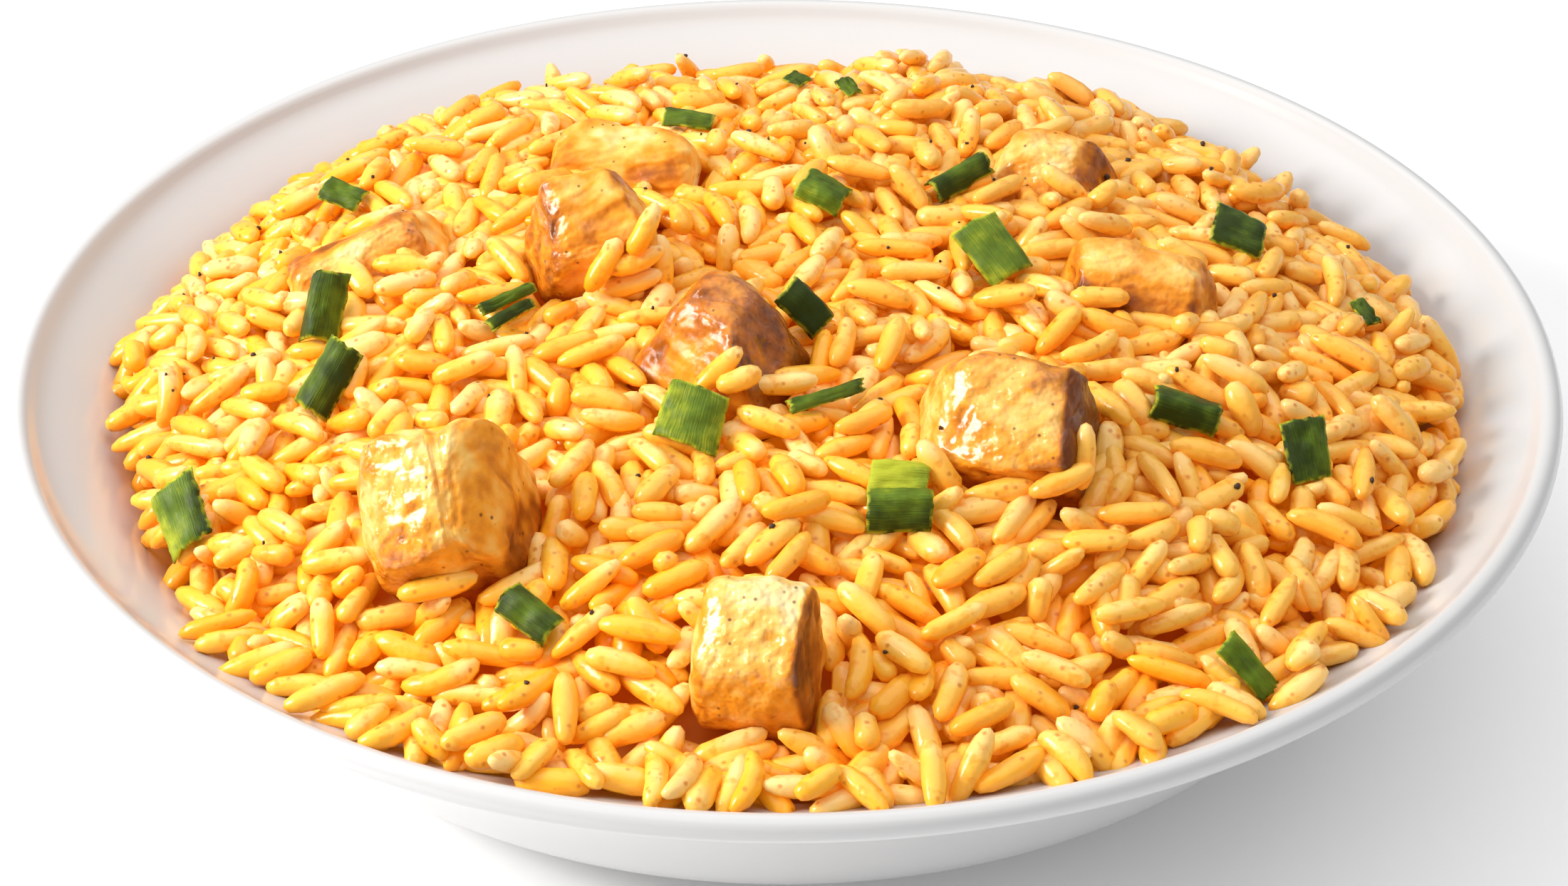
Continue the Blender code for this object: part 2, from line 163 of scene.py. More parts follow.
def sheet_faces(rows: int, columns: int) -> Array:
    """Four-sided faces of an open grid whose points are numbered row by row."""
    i, j = np.meshgrid(np.arange(rows - 1), np.arange(columns - 1), indexing="ij")
    first, second = i * columns + j, (i + 1) * columns + j
    return np.stack([first, second, second + 1, first + 1], -1).reshape(-1, 4)


def ring_faces(rings: int, sides: int) -> Array:
    """Four-sided faces that join each closed ring of points to the next one."""
    i, j = np.meshgrid(np.arange(rings - 1), np.arange(sides), indexing="ij")
    k = (j + 1) % sides
    first, second = i * sides, (i + 1) * sides
    return np.stack([first + j, second + j, second + k, first + k], -1).reshape(-1, 4)


def fan_faces(tip: int, first: int, sides: int, turned: bool = False) -> Array:
    """Three-sided faces that join a tip to the closed ring that starts at first.

    Args:
        tip: The tip's number.
        first: The number of the ring's first point.
        sides: How many points the ring has.
        turned: Whether the faces point the other way.

    Returns:
        One face for each side of the ring.
    """
    j = np.arange(sides)
    k = (j + 1) % sides
    if turned:
        j, k = k, j
    return np.stack([np.full(sides, tip), first + j, first + k], -1)


@dataclass
class Surface:
    """A mesh as arrays: points in mm, four- and three-sided faces, and values for each point."""

    points: Array
    quads: Array
    tris: Array = field(default_factory=lambda: np.zeros((0, 3), np.int64))
    values: dict[str, Array] = field(default_factory=dict)
    uv: Array | None = None

    def as_object(self, name: str, material: bpy.types.Material, slot: str) -> bpy.types.Object:
        """Make the Blender object, riding on the root body.

        Args:
            name: The piece's name.
            material: Its finish.
            slot: The name of a material slot; not used.

        Returns:
            The new object, at the origin.
        """
        mesh = bpy.data.meshes.new(name)
        loops = np.concatenate([self.quads.ravel(), self.tris.ravel()]).astype(np.int32)
        first = len(self.quads) * 4
        quad_starts, tri_starts = np.arange(len(self.quads)) * 4, np.arange(len(self.tris)) * 3
        starts = np.concatenate([quad_starts, first + tri_starts])
        mesh.vertices.add(len(self.points))
        mesh.vertices.foreach_set("co", (self.points * MM).astype(np.float32).ravel())
        mesh.loops.add(len(loops))
        mesh.loops.foreach_set("vertex_index", loops)
        mesh.polygons.add(len(starts))
        mesh.polygons.foreach_set("loop_start", starts.astype(np.int32))
        mesh.polygons.foreach_set("use_smooth", np.ones(len(starts), bool))
        mesh.update(calc_edges=True)
        for key, value in self.values.items():
            layer = mesh.attributes.new(key, "FLOAT", "POINT")
            layer.data.foreach_set("value", value.astype(np.float32).ravel())
        if self.uv is not None:
            layer = mesh.uv_layers.new(name="along")
            layer.data.foreach_set("uv", self.uv[loops].astype(np.float32).ravel())
        mesh.materials.append(material)
        made = bpy.data.objects.new(name, mesh)
        bpy.context.scene.collection.objects.link(made)
        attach(made, "root")
        return made


def revolved(profile: Array, turns: int) -> Surface:
    """Turn a profile about the vertical axis.

    Point (r, z) at angle a goes to (r cos a, r sin a, z). The first and last rows lie on the axis
    and become one point each.

    Args:
        profile: Rows of radius and height, from the top of the axis, outwards and back under.
        turns: How many steps the full turn has.

    Returns:
        The closed surface.
    """
    angle = np.arange(turns) * 2.0 * np.pi / turns
    r, z = profile[1:-1, 0][:, None], profile[1:-1, 1][:, None]
    rings = np.stack([r * np.cos(angle), r * np.sin(angle), z + 0.0 * angle], -1)
    count = len(rings)
    points = np.vstack([rings.reshape(-1, 3), [[0, 0, profile[0, 1]]], [[0, 0, profile[-1, 1]]]])
    size = count * turns
    caps = [fan_faces(size, 0, turns), fan_faces(size + 1, size - turns, turns, True)]
    return Surface(points, ring_faces(count, turns), np.vstack(caps))


def repeated(points: Array, quads: Array, tris: Array, values: dict[str, Array]) -> Surface:
    """Join many copies of one shape into one surface.

    Args:
        points: The points of every copy, with the copies on the first axis.
        quads: The four-sided faces of one copy.
        tris: The three-sided faces of one copy.
        values: Values for every point of every copy.

    Returns:
        The surface, with its faces' numbers moved on from copy to copy.
    """
    shift = (np.arange(len(points)) * points.shape[1])[:, None, None]
    faces = (quads + shift).reshape(-1, 4), (tris + shift).reshape(-1, 3)
    joined = {key: value.ravel() for key, value in values.items()}
    return Surface(points.reshape(-1, 3), *faces, joined)


# Shapes of the plate and the heap that other pieces lean on


@dataclass(frozen=True)
class PlateShape:
    """The plate's profile as radius and height pairs, in mm."""

    inside: tuple = (
        (0.0, 5.8), (48.0, 6.1), (60.0, 6.6), (70.0, 8.0), (76.5, 10.6), (82.0, 15.0),
        (86.0, 20.0), (90.0, 25.8), (93.4, 30.6), (97.0, 34.4), (101.0, 37.0), (105.0, 39.2),
    )
    outside: tuple = (
        (106.6, 36.9), (103.2, 34.3), (98.5, 30.0), (92.0, 21.6), (86.6, 13.6), (82.0, 8.6),
        (77.0, 5.0), (71.0, 3.2), (67.2, 2.6), (66.4, 0.7),
    )
    foot: tuple = ((65.6, 0.0), (62.4, 0.0), (61.6, 0.7), (61.0, 1.8))
    lip_centre: tuple = (108.2, 39.9)
    lip_radius: float = 1.8
    lip_from: float = 150.0
    lip_to: float = -52.0

    def wall(self, radius: Array) -> Array:
        """Height of the inside at a radius, straight between the profile's points."""
        r, z = np.array(self.inside).T
        return np.interp(radius, r, z)

    def profile(self) -> Array:
        """The whole smooth profile: inside, round lip, outside, foot and underside."""
        degrees = np.radians(np.linspace(self.lip_from, self.lip_to, 11))
        lip = np.stack([np.cos(degrees), np.sin(degrees)], -1) * self.lip_radius + self.lip_centre
        wall = smooth_line(np.vstack([self.inside, lip[:1]]), 4)
        side = smooth_line(np.vstack([lip[-1:], self.outside]), 4)
        return np.vstack([wall, lip[1:-1], side, self.foot, [[30.0, 1.8], [0.0, 1.8]]])


@dataclass(frozen=True)
class HeapShape:
    """Sizes of the heap's smooth surface, in mm."""

    radius: float = 97.3
    edge_height: float = 37.0
    top_height: float = 53.6
    power: float = 3.2
    core_depth: float = 6.6
    far_lowered: float = 2.8
    far_bumps: tuple = ((1.32, 0.11, 0.9), (0.86, 0.10, 0.6))
    swells: tuple = (
        (-60.0, 52.0, 22.0, 4.0), (0.0, 60.0, 18.0, -2.3), (32.0, 66.0, 14.0, 3.5),
        (68.0, 48.0, 18.0, 3.0),
    )

    def edge(self, angle: Array) -> Array:
        """Radius of the edge: it reaches 2.4 mm further to the near right, and is a little oval."""
        near = 2.4 * np.cos(angle + 1.08) - 0.9 * np.cos(2.0 * angle)
        return self.radius + near + 0.3 * np.cos(3.0 * angle + 0.35)

    def core_edge(self, angle: Array) -> Array:
        """Radius of the core: 8.5 mm inside the edge, and up to 14 mm inside it at the far side."""
        return self.edge(angle) - 8.5 - 5.5 * smoothstep(0.0, 0.8, np.sin(angle))

    def sag(self, x: Array, y: Array) -> Array:
        """How much lower the grains lie on the far side.

        Each bump (at, width, share) takes its share times exp(-((angle - at) / width)^2) off that.
        """
        radius, angle = np.hypot(x, y), np.arctan2(y, x)
        far = smoothstep(0.35, 0.95, radius / self.radius) * smoothstep(-0.1, 0.6, np.sin(angle))
        bumps = sum(share * np.exp(-((angle - at) / width) ** 2)
                    for at, width, share in self.far_bumps)
        return self.far_lowered * far * (1.0 - bumps)

    def height(self, x: Array, y: Array) -> Array:
        """Height of the heap.

        It falls from the top to the edge as 1 - s^power, where s is the share of the way out, and
        each swell adds its rise times exp(-d^2 / 2 spread^2).

        Args:
            x: Places to the right.
            y: Places to the far side.

        Returns:
            The height at each place.
        """
        share = np.minimum(np.hypot(x, y) / self.edge(np.arctan2(y, x)), 1.0)
        dome = (self.top_height - self.edge_height) * (1.0 - share ** self.power)
        height = self.edge_height + dome
        for sx, sy, spread, rise in self.swells:
            gap = (x - sx) ** 2 + (y - sy) ** 2
            height = height + rise * (1.0 - share ** 6) * np.exp(-gap / (2.0 * spread ** 2))
        return height


# Finishes


class Desk:
    """A material's node tree, with short calls for the nodes that the finishes use."""

    def __init__(self, name: str) -> None:
        """Start a material with one Principled shader."""
        self.material = bpy.data.materials.new(name)
        self.material.use_nodes = True
        self.tree = self.material.node_tree
        self.shader = self.tree.nodes["Principled BSDF"]
        self.place = self.node("ShaderNodeTexCoord").outputs["Object"]

    def node(self, kind: str, **settings: object) -> bpy.types.Node:
        """Add a node and set its properties."""
        made = self.tree.nodes.new(kind)
        for key, value in settings.items():
            setattr(made, key, value)
        return made

    def feed(self, socket: bpy.types.NodeSocket, value: object) -> None:
        """Link a socket's source, or set its constant."""
        if isinstance(value, bpy.types.NodeSocket):
            self.tree.links.new(value, socket)
        else:
            socket.default_value = value

    def constants(self, **values: object) -> None:
        """Set constants on the Principled shader; an underscore in a key stands for a space."""
        for key, value in values.items():
            self.shader.inputs[key.replace("_", " ")].default_value = value

    def value(self, name: str) -> bpy.types.NodeSocket:
        """Read one of the piece's own values."""
        return self.node("ShaderNodeAttribute", attribute_name=name).outputs["Fac"]

    def math(self, kind: str, a: object, b: object = 0.0,
             clamp: bool = False) -> bpy.types.NodeSocket:
        """Work out one number from two."""
        made = self.node("ShaderNodeMath", operation=kind, use_clamp=clamp)
        self.feed(made.inputs[0], a)
        self.feed(made.inputs[1], b)
        return made.outputs[0]

    def times(self, a: object, b: object) -> bpy.types.NodeSocket:
        """Multiply two numbers."""
        return self.math("MULTIPLY", a, b)

    def stretched(self, scale: tuple, source: bpy.types.NodeSocket) -> bpy.types.NodeSocket:
        """Scale coordinates."""
        made = self.node("ShaderNodeMapping")
        self.feed(made.inputs["Vector"], source)
        made.inputs["Scale"].default_value = scale
        return made.outputs["Vector"]

    def grain(self, scale: float, detail: float, source: object = None) -> bpy.types.NodeSocket:
        """Noise from 0 to 1 with a given number of features to the metre."""
        made = self.node("ShaderNodeTexNoise")
        self.feed(made.inputs["Vector"], source or self.place)
        made.inputs["Scale"].default_value = scale
        made.inputs["Detail"].default_value = detail
        return made.outputs["Fac"]

    def ramp(self, value: bpy.types.NodeSocket, stops: tuple) -> bpy.types.NodeSocket:
        """Turn a number into a colour or grey by stops of (place, red, green, blue)."""
        made = self.node("ShaderNodeValToRGB")
        while len(made.color_ramp.elements) < len(stops):
            made.color_ramp.elements.new(0.5)
        for element, (at, red, green, blue) in zip(made.color_ramp.elements, stops):
            element.position = at
            element.color = (red, green, blue, 1.0)
        self.feed(made.inputs["Fac"], value)
        return made.outputs["Color"]

    def mask(self, value: bpy.types.NodeSocket, low: float, high: float) -> bpy.types.NodeSocket:
        """Rise smoothly from 0 at low to 1 at high."""
        made = self.node("ShaderNodeMapRange", interpolation_type="SMOOTHSTEP")
        self.feed(made.inputs["Value"], value)
        made.inputs["From Min"].default_value = low
        made.inputs["From Max"].default_value = high
        return made.outputs["Result"]

    def blend(self, share: object, a: object, b: object) -> bpy.types.NodeSocket:
        """Blend two colours."""
        made = self.node("ShaderNodeMix", data_type="RGBA", blend_type="MIX")
        self.feed(made.inputs[0], share)
        self.feed(made.inputs[6], a)
        self.feed(made.inputs[7], b)
        return made.outputs[2]

    def dots(self, scale: float, low: float, high: float, rare: float) -> bpy.types.NodeSocket:
        """Scattered dots: near a cell's seed point, only in the cells whose chance passes rare."""
        made = self.node("ShaderNodeTexVoronoi", feature="F1")
        self.feed(made.inputs["Vector"], self.place)
        made.inputs["Scale"].default_value = scale
        near = self.mask(made.outputs["Distance"], high, low)
        apart = self.node("ShaderNodeSeparateColor")
        self.feed(apart.inputs[0], made.outputs["Color"])
        return self.times(near, self.mask(apart.outputs[0], rare, rare + 0.02))

    def bump(self, height: bpy.types.NodeSocket, depth: float) -> None:
        """Raise the surface by a height times a depth in metres."""
        made = self.node("ShaderNodeBump")
        made.inputs["Strength"].default_value = 1.0
        made.inputs["Distance"].default_value = depth
        self.feed(made.inputs["Height"], height)
        self.feed(self.shader.inputs["Normal"], made.outputs["Normal"])


@dataclass(frozen=True)
class GlazeFinish:
    """White glossy glaze with faint unevenness and a thin film of oil by the food."""

    colour: tuple = (0.605, 0.605, 0.607, 1.0)
    oil: tuple = (0.93, 0.66, 0.36, 1.0)
    roughness: float = 0.28

    def make(self, name: str) -> bpy.types.Material:
        """Build the material."""
        desk = Desk(name)
        patches = desk.mask(desk.grain(160.0, 4.0), 0.35, 0.72)
        film = desk.math("MULTIPLY", desk.value("oil"), patches, True)
        desk.feed(desk.shader.inputs["Base Color"], desk.blend(film, self.colour, self.oil))
        desk.constants(Roughness=self.roughness, IOR=1.5, Coat_Weight=0.30, Coat_Roughness=0.14)
        desk.bump(desk.grain(38.0, 1.0), 0.00012)
        return desk.material


@dataclass(frozen=True)
class RiceFinish:
    """Moist golden rice: pale to deep grains, with spice specks.

    Each grain is painted paler on its upper side as painted light, and a duller, paler tan to the
    right and a darker orange where it sinks between others as painted shade. All grains glow
    faintly orange as painted light, most where they sink and less to the right.
    """

    tones: tuple = (
        (0.0, 0.97, 0.34, 0.006), (0.35, 0.99, 0.44, 0.017), (0.7, 0.99, 0.54, 0.060),
        (1.0, 0.99, 0.68, 0.25),
    )
    beige_and_right_shade: tuple = (0.86, 0.48, 0.105, 1.0)
    # Painted shade: the darker orange of grains that sink between others.
    deep: tuple = (0.90, 0.31, 0.004, 1.0)
    # Painted light: the grains glow faintly orange though no lamp is in them, most where they sink;
    # glow_shade paints the glow darker to the right as painted shade.
    glow: tuple = (1.0, 0.36, 0.0, 1.0)
    glow_top: tuple = (0.42, 0.15, 0.0, 1.0)
    glow_shade: tuple = (0.10, 0.025, 0.0, 1.0)
    glow_strength: float = 0.155
    stained: tuple = (0.86, 0.30, 0.010, 1.0)
    spice: tuple = (0.60, 0.17, 0.008, 1.0)
    roughness: float = 0.30

    def make(self, name: str) -> bpy.types.Material:
        """Build the material."""
        desk = Desk(name)
        mottle = desk.times(desk.math("SUBTRACT", desk.grain(260.0, 1.0), 0.5), 0.5)
        tone_and_top_light = desk.math("ADD", desk.value("tone_and_top_light"), mottle, True)
        colour = desk.ramp(tone_and_top_light, self.tones)
        # Painted shade: a duller, paler tan towards the right.
        colour = desk.blend(desk.value("beige_and_right_shade"), colour, self.beige_and_right_shade)
        # Painted shade: grains that lie below the surface are painted a darker, deeper orange, as
        # the gaps between grains.
        colour = desk.blend(desk.value("sunk"), colour, self.deep)
        stain = desk.mask(desk.grain(560.0, 2.0), 0.54, 0.70)
        colour = desk.blend(desk.times(stain, 0.60), colour, self.stained)
        dots = desk.dots(700.0, 0.10, 0.34, 0.66)
        colour = desk.blend(desk.times(dots, 0.78), colour, self.spice)
        desk.feed(desk.shader.inputs["Base Color"], colour)
        desk.constants(Roughness=self.roughness, IOR=1.45, Specular_IOR_Level=0.38)
        desk.constants(Coat_Weight=0.30, Coat_Roughness=0.08)
        desk.shader.subsurface_method = "BURLEY"
        desk.constants(Subsurface_Weight=0.38, Subsurface_Scale=0.0016)
        desk.shader.inputs["Subsurface Radius"].default_value = (1.0, 0.65, 0.35)
        # Painted light: a faint orange glow, stronger where grains sink and darker to the right as
        # painted shade.
        desk.constants(Emission_Strength=self.glow_strength)
        glow = desk.blend(desk.value("sunk"), self.glow_top, self.glow)
        glow = desk.blend(desk.value("beige_and_right_shade"), glow, self.glow_shade)
        desk.feed(desk.shader.inputs["Emission Color"], glow)
        desk.bump(desk.grain(1000.0, 1.0), 0.00010)
        return desk.material


@dataclass(frozen=True)
class MeatFinish:
    """Cooked chicken: pale fibrous flesh, golden and darker seared patches, wet in places.

    Sides that face away from the light at the left are made darker partly as painted shade.
    """

    tones: tuple = (
        (0.0, 0.95, 0.73, 0.34), (0.22, 0.93, 0.55, 0.125), (0.45, 0.86, 0.33, 0.018),
        (0.70, 0.50, 0.14, 0.006), (1.0, 0.17, 0.040, 0.003),
    )
    spice: tuple = (0.12, 0.035, 0.01, 1.0)

    def make(self, name: str) -> bpy.types.Material:
        """Build the material."""
        desk = Desk(name)
        mottle = desk.times(desk.math("SUBTRACT", desk.grain(330.0, 5.0), 0.5), 0.55)
        colour = desk.ramp(desk.math("ADD", desk.value("brown_and_right_shade"), mottle, True), self.tones)
        dots = desk.dots(640.0, 0.08, 0.22, 0.70)
        colour = desk.blend(desk.times(dots, 0.8), colour, self.spice)
        desk.feed(desk.shader.inputs["Base Color"], colour)
        wet = desk.value("wet")
        roughness = desk.math("SUBTRACT", 0.50, desk.times(wet, 0.36))
        desk.feed(desk.shader.inputs["Roughness"], roughness)
        coat = desk.math("ADD", 0.02, desk.times(wet, 0.80), True)
        desk.feed(desk.shader.inputs["Coat Weight"], coat)
        desk.constants(IOR=1.42, Specular_IOR_Level=0.28, Coat_Roughness=0.17)
        desk.constants(Subsurface_Weight=0.22, Subsurface_Scale=0.0016)
        desk.shader.inputs["Subsurface Radius"].default_value = (1.0, 0.5, 0.25)
        net = desk.times(desk.grain(780.0, 1.0), desk.times(wet, 2.4))
        fibres = desk.times(desk.value("fibre"), 0.9)
        rough = desk.math("ADD", desk.times(desk.grain(900.0, 2.0), 0.45), fibres)
        desk.bump(desk.math("ADD", rough, net), 0.00024)
        return desk.material


@dataclass(frozen=True)
class LeafFinish:
    """Green onion: dark to mid green with fine lengthwise lines and yellow-green patches."""

    dark: tuple = (0.026, 0.045, 0.003, 1.0)
    mid: tuple = (0.115, 0.185, 0.009, 1.0)
    bright: tuple = (0.50, 0.53, 0.030, 1.0)

    def make(self, name: str) -> bpy.types.Material:
        """Build the material."""
        desk = Desk(name)
        along = desk.node("ShaderNodeUVMap", uv_map="along").outputs["UV"]
        lines = desk.grain(1.0, 3.0, desk.stretched((1.4, 34.0, 1.0), along))
        patches = desk.math("ADD", desk.times(desk.grain(260.0, 3.0), 0.8), desk.times(lines, 0.35))
        level = desk.math("ADD", patches, desk.times(desk.value("light"), 0.5))
        colour = desk.blend(desk.mask(level, 0.42, 0.82), self.dark, self.mid)
        colour = desk.blend(desk.times(desk.mask(level, 0.74, 1.08), 0.9), colour, self.bright)
        cut_edge = desk.times(desk.value("rim"), desk.mask(desk.grain(700.0, 2.0), 0.35, 0.6))
        colour = desk.blend(cut_edge, colour, self.bright)
        desk.feed(desk.shader.inputs["Base Color"], colour)
        desk.constants(Roughness=0.45, IOR=1.38, Specular_IOR_Level=0.25)
        desk.constants(Coat_Weight=0.03, Coat_Roughness=0.2)
        desk.bump(lines, 0.00016)
        return desk.material


@dataclass(frozen=True)
class PlainFinish:
    """One colour with a little unevenness, for the specks, the heap's core and the floor."""

    dark: tuple
    light: tuple
    roughness: float = 0.6
    scale: float = 300.0
    glow: float = 0.0

    def make(self, name: str) -> bpy.types.Material:
        """Build the material."""
        desk = Desk(name)
        colour = desk.blend(desk.grain(self.scale, 3.0), self.dark, self.light)
        desk.feed(desk.shader.inputs["Base Color"], colour)
        desk.constants(Roughness=self.roughness)
        desk.constants(Emission_Color=self.light, Emission_Strength=self.glow)
        return desk.material


# The plate


@dataclass
class Plate:
    """The white plate, with a round lip and a plain foot."""

    shape: PlateShape = field(default_factory=PlateShape)
    turns: int = 176

    def build(self) -> bpy.types.Object:
        """Turn the profile and mark where oil has run from the food.

        The film is strongest at the food's edge on the right, fades over about 8 mm outwards, and
        is faint elsewhere.
        """
        surface = revolved(self.shape.profile(), self.turns)
        x, y, z = surface.points.T
        radius, angle = np.hypot(x, y), np.arctan2(y, x)
        reach = smoothstep(106.0, 97.0, radius) * (z > 20.0) * (z > self.shape.wall(radius) - 0.8)
        right = np.exp(-((angle + 0.12) / 0.34) ** 2)
        left = 0.45 * np.exp(-((np.abs(angle) - 2.96) / 0.3) ** 2)
        surface.values["oil"] = reach * (0.04 + 0.34 * right + 0.10 * left)
        made = surface.as_object("plate_glazed", GlazeFinish().make("plate_glaze"), "plate_glaze")
        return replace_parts(made, "plate")


# Chicken


def cube_grid(cuts: int) -> tuple[Array, Array]:
    """A cube's surface as one welded grid.

    Args:
        cuts: How many faces there are along each edge.

    Returns:
        The points, from -1 to 1 on each axis, and the four-sided faces, pointing out.
    """
    steps = np.linspace(-1.0, 1.0, cuts + 1)
    u, v = np.meshgrid(steps, steps, indexing="ij")
    n = cuts + 1
    square = sheet_faces(n, n)
    sides, faces = [], []
    for axis, sign in itertools.product(range(3), (-1.0, 1.0)):
        side = np.zeros((n, n, 3))
        side[..., axis] = sign
        side[..., (axis + 1) % 3] = u
        side[..., (axis + 2) % 3] = v
        faces.append((square if sign > 0 else square[:, ::-1]) + len(sides) * n * n)
        sides.append(side.reshape(-1, 3))
    keys = np.round(np.vstack(sides) * cuts * 4).astype(np.int64)
    points, where = np.unique(keys, axis=0, return_inverse=True)
    return points / (cuts * 4.0), where.ravel()[np.vstack(faces)]


def point_normals(points: Array, quads: Array) -> Array:
    """Normal at each point: the sum of its faces' diagonals' cross products, made unit length."""
    a, b, c, d = (points[quads[:, k]] for k in range(4))
    face = np.cross(c - a, d - b)
    total = np.zeros_like(points)
    for k in range(4):
        np.add.at(total, quads[:, k], face)
    return total / np.maximum(np.linalg.norm(total, axis=1, keepdims=True), 1e-9)


@dataclass(frozen=True)
class Chunk:
    """One chicken chunk: its centre, sizes and turn, and how it is cooked.

    Each seared or wet side is a way that the side faces, and how strongly it is so. A cut is the
    way that it faces, its distance from the middle, and how seared it is. Seared sides and cuts
    that face the right are darker partly as painted shade, away from the light at the left. A fold
    is a way in the chunk's own axes, its place along it from -1 to 1, its width and its depth.
    """

    centre: tuple
    size: tuple
    turn: tuple
    taper: float
    cuts: tuple
    seared: tuple
    base: float = 0.16
    wet: tuple = ()
    folds: tuple = ()
    fibre: tuple = (1.0, 0.4, 0.0)


@dataclass
class Chicken:
    """The nine chunks of browned chicken."""

    steps: int = 44
    round: float = 1.1
    # Sides and cuts that face +X are seared darker partly as painted shade, away from the light at
    # the left.
    chunks: tuple = (
        Chunk((-23.7, 27.0, 53.0), (21.3, 12.5, 11.0), (12.0, 0.0, -8.0), 0.10,
              ((-0.1, -0.75, 0.66, 4.6, 0.02),),
              ((-0.85, -0.3, 0.1, 0.26), (0.5, -0.9, 0.0, 0.10)), 0.19),
        Chunk((-26.8, -2.6, 59.2), (18.8, 13.0, 18.0), (24.0, 0.0, 15.0), 0.12,
              ((-0.1, -0.75, 0.66, 5.6, 0.0), (0.75, 0.1, 0.65, 7.8, 0.12),
               (-0.85, -0.45, 0.2, 7.0, 0.10)),
              ((-0.9, -0.3, 0.0, 0.12), (-0.2, -0.9, -0.3, 0.12)), 0.30, ((-0.7, -0.7, 0.0, 0.9),)),
        Chunk((-60.2, 4.6, 49.6), (22.7, 13.5, 13.0), (22.0, -6.0, 22.0), 0.20,
              ((0.15, -0.8, 0.58, 4.6, 0.0), (-0.4, 0.3, 0.87, 4.8, 0.10)),
              ((-0.9, 0.2, 0.5, 0.30), (0.8, -0.5, 0.1, 0.25)), 0.16, ((0.1, -0.8, 0.5, 0.9),),
              ((0.25, 0.1, 1.0, 0.75, 0.12, 0.5),)),
        Chunk((-7.1, -27.9, 54.7), (21.2, 17.0, 16.0), (14.0, 10.0, -32.0), 0.28,
              ((-0.6, -0.62, 0.5, 6.4, 0.0), (0.78, -0.35, 0.52, 5.6, 0.16)),
              ((0.85, -0.2, 0.3, 0.18), (0.2, 0.3, 1.0, 0.10), (-0.7, -0.6, 0.4, 0.10)), 0.41,
              ((0.3, -0.6, 0.7, 0.8),)),
        Chunk((30.4, -45.6, 54.4), (23.4, 17.0, 18.0), (28.0, 4.0, -8.0), 0.10,
              ((0.92, -0.30, 0.25, 8.6, 0.46), (-0.40, -0.66, 0.64, 7.4, 0.0)),
              ((1.0, 0.05, -0.1, 0.30), (0.0, -0.7, -0.7, 0.22), (0.6, 0.5, 0.5, 0.22)), 0.31,
              ((-0.5, -0.7, 0.5, 1.2),), (), (1.0, 0.9, 0.0)),
        Chunk((49.9, -7.5, 51.0), (23.1, 14.0, 13.0), (20.0, 2.0, -12.0), 0.12,
              ((0.9, -0.35, 0.2, 9.4, 0.16), (-0.9, -0.3, 0.1, 9.8, 0.14),
               (-0.1, -0.85, 0.5, 5.0, 0.10)),
              ((-1.0, -0.1, 0.0, 0.16), (-0.3, -0.9, -0.3, 0.26), (1.0, 0.0, 0.1, 0.10)), 0.25,
              ((-0.4, -0.7, 0.5, 0.5),)),
        Chunk((40.8, 26.4, 51.0), (19.6, 13.0, 11.5), (14.0, 4.0, -14.0), 0.15,
              ((0.8, -0.45, 0.4, 4.8, 0.34), (-0.2, -0.8, 0.56, 4.6, 0.0)),
              ((0.9, -0.1, 0.2, 0.15),), 0.18,
              ((-0.4, -0.7, 0.5, 0.9),)),
        Chunk((-42.3, -62.4, 53.6), (21.2, 18.0, 21.5), (34.0, -4.0, 10.0), 0.08,
              ((-0.54, -0.68, 0.50, 8.2, 0.0), (0.55, -0.62, 0.56, 8.2, 0.04),
               (0.95, -0.25, 0.1, 9.2, 0.28)),
              ((0.0, -0.7, -0.8, 0.30), (-0.95, -0.2, 0.1, 0.14), (1.0, -0.1, 0.0, 0.15)), 0.18,
              ((-0.65, -0.75, 0.2, 1.6),), ((1.0, 0.0, 0.1, 0.26, 0.13, 0.8),), (0.0, 0.3, 1.0)),
        Chunk((-2.8, -85.2, 47.8), (16.6, 14.0, 17.0), (16.0, 0.0, -6.0), 0.05,
              ((0.94, -0.32, 0.12, 6.6, 0.40), (-0.30, -0.68, 0.66, 6.3, 0.0)),
              ((1.0, -0.05, -0.1, 0.24), (0.0, -0.8, -0.7, 0.24), (-1.0, 0.0, 0.0, 0.10)), 0.13,
              ((-0.35, -0.75, 0.55, 1.4),), (), (0.2, 0.3, 1.0)),
    )

    def surface(self, chunk: Chunk, index: int) -> Surface:
        """Work out one chunk.

        A cube's point p is pulled in to p / (|x|^5 + |y|^5 + |z|^5)^(1/5), narrowed upwards, leant,
        stretched to the chunk's size and swollen by broad noise. Its folds are dents of depth
        exp(-((p.d - place) / width)^2). What lies beyond a cut is pressed back onto the cut, by
        r ln(1 + exp(over / r)) for the roundness r of its edges, and the fibres are ridges drawn
        out along one way.

        Args:
            chunk: The chunk's sizes.
            index: Its place in the list, which seeds its unevenness.

        Returns:
            The closed surface, with its brown, wet and fibre values.
        """
        chance = random.Random(SEED + index)
        lean = (chance.uniform(-0.12, 0.12), chance.uniform(-0.10, 0.10))
        cube, quads = cube_grid(self.steps)
        power = 5.0
        unit = cube / (np.abs(cube) ** power).sum(1, keepdims=True) ** (1.0 / power)
        x, y, z = unit.T
        wide = x * (1 - chunk.taper * z) + lean[0] * z
        deep = y * (1 - 0.6 * chunk.taper * z) + lean[1] * z
        swell = 1.0 + 0.06 * noise(unit * 1.1 + index * 7.7, 3)
        swell = swell + 0.035 * noise(unit * 2.6 + index * 3.1, 4)
        points = np.stack([wide, deep, z], -1) * swell[:, None] * np.array(chunk.size) / 2.0
        for dx, dy, dz, place, width, depth in chunk.folds:
            gap = (unit @ np.array([dx, dy, dz]) - place) / width
            points = points * (1.0 - depth / 10.0 * np.exp(-gap ** 2))[:, None]
        normals = point_normals(points, quads)
        way = np.array(chunk.fibre) / np.linalg.norm(chunk.fibre)
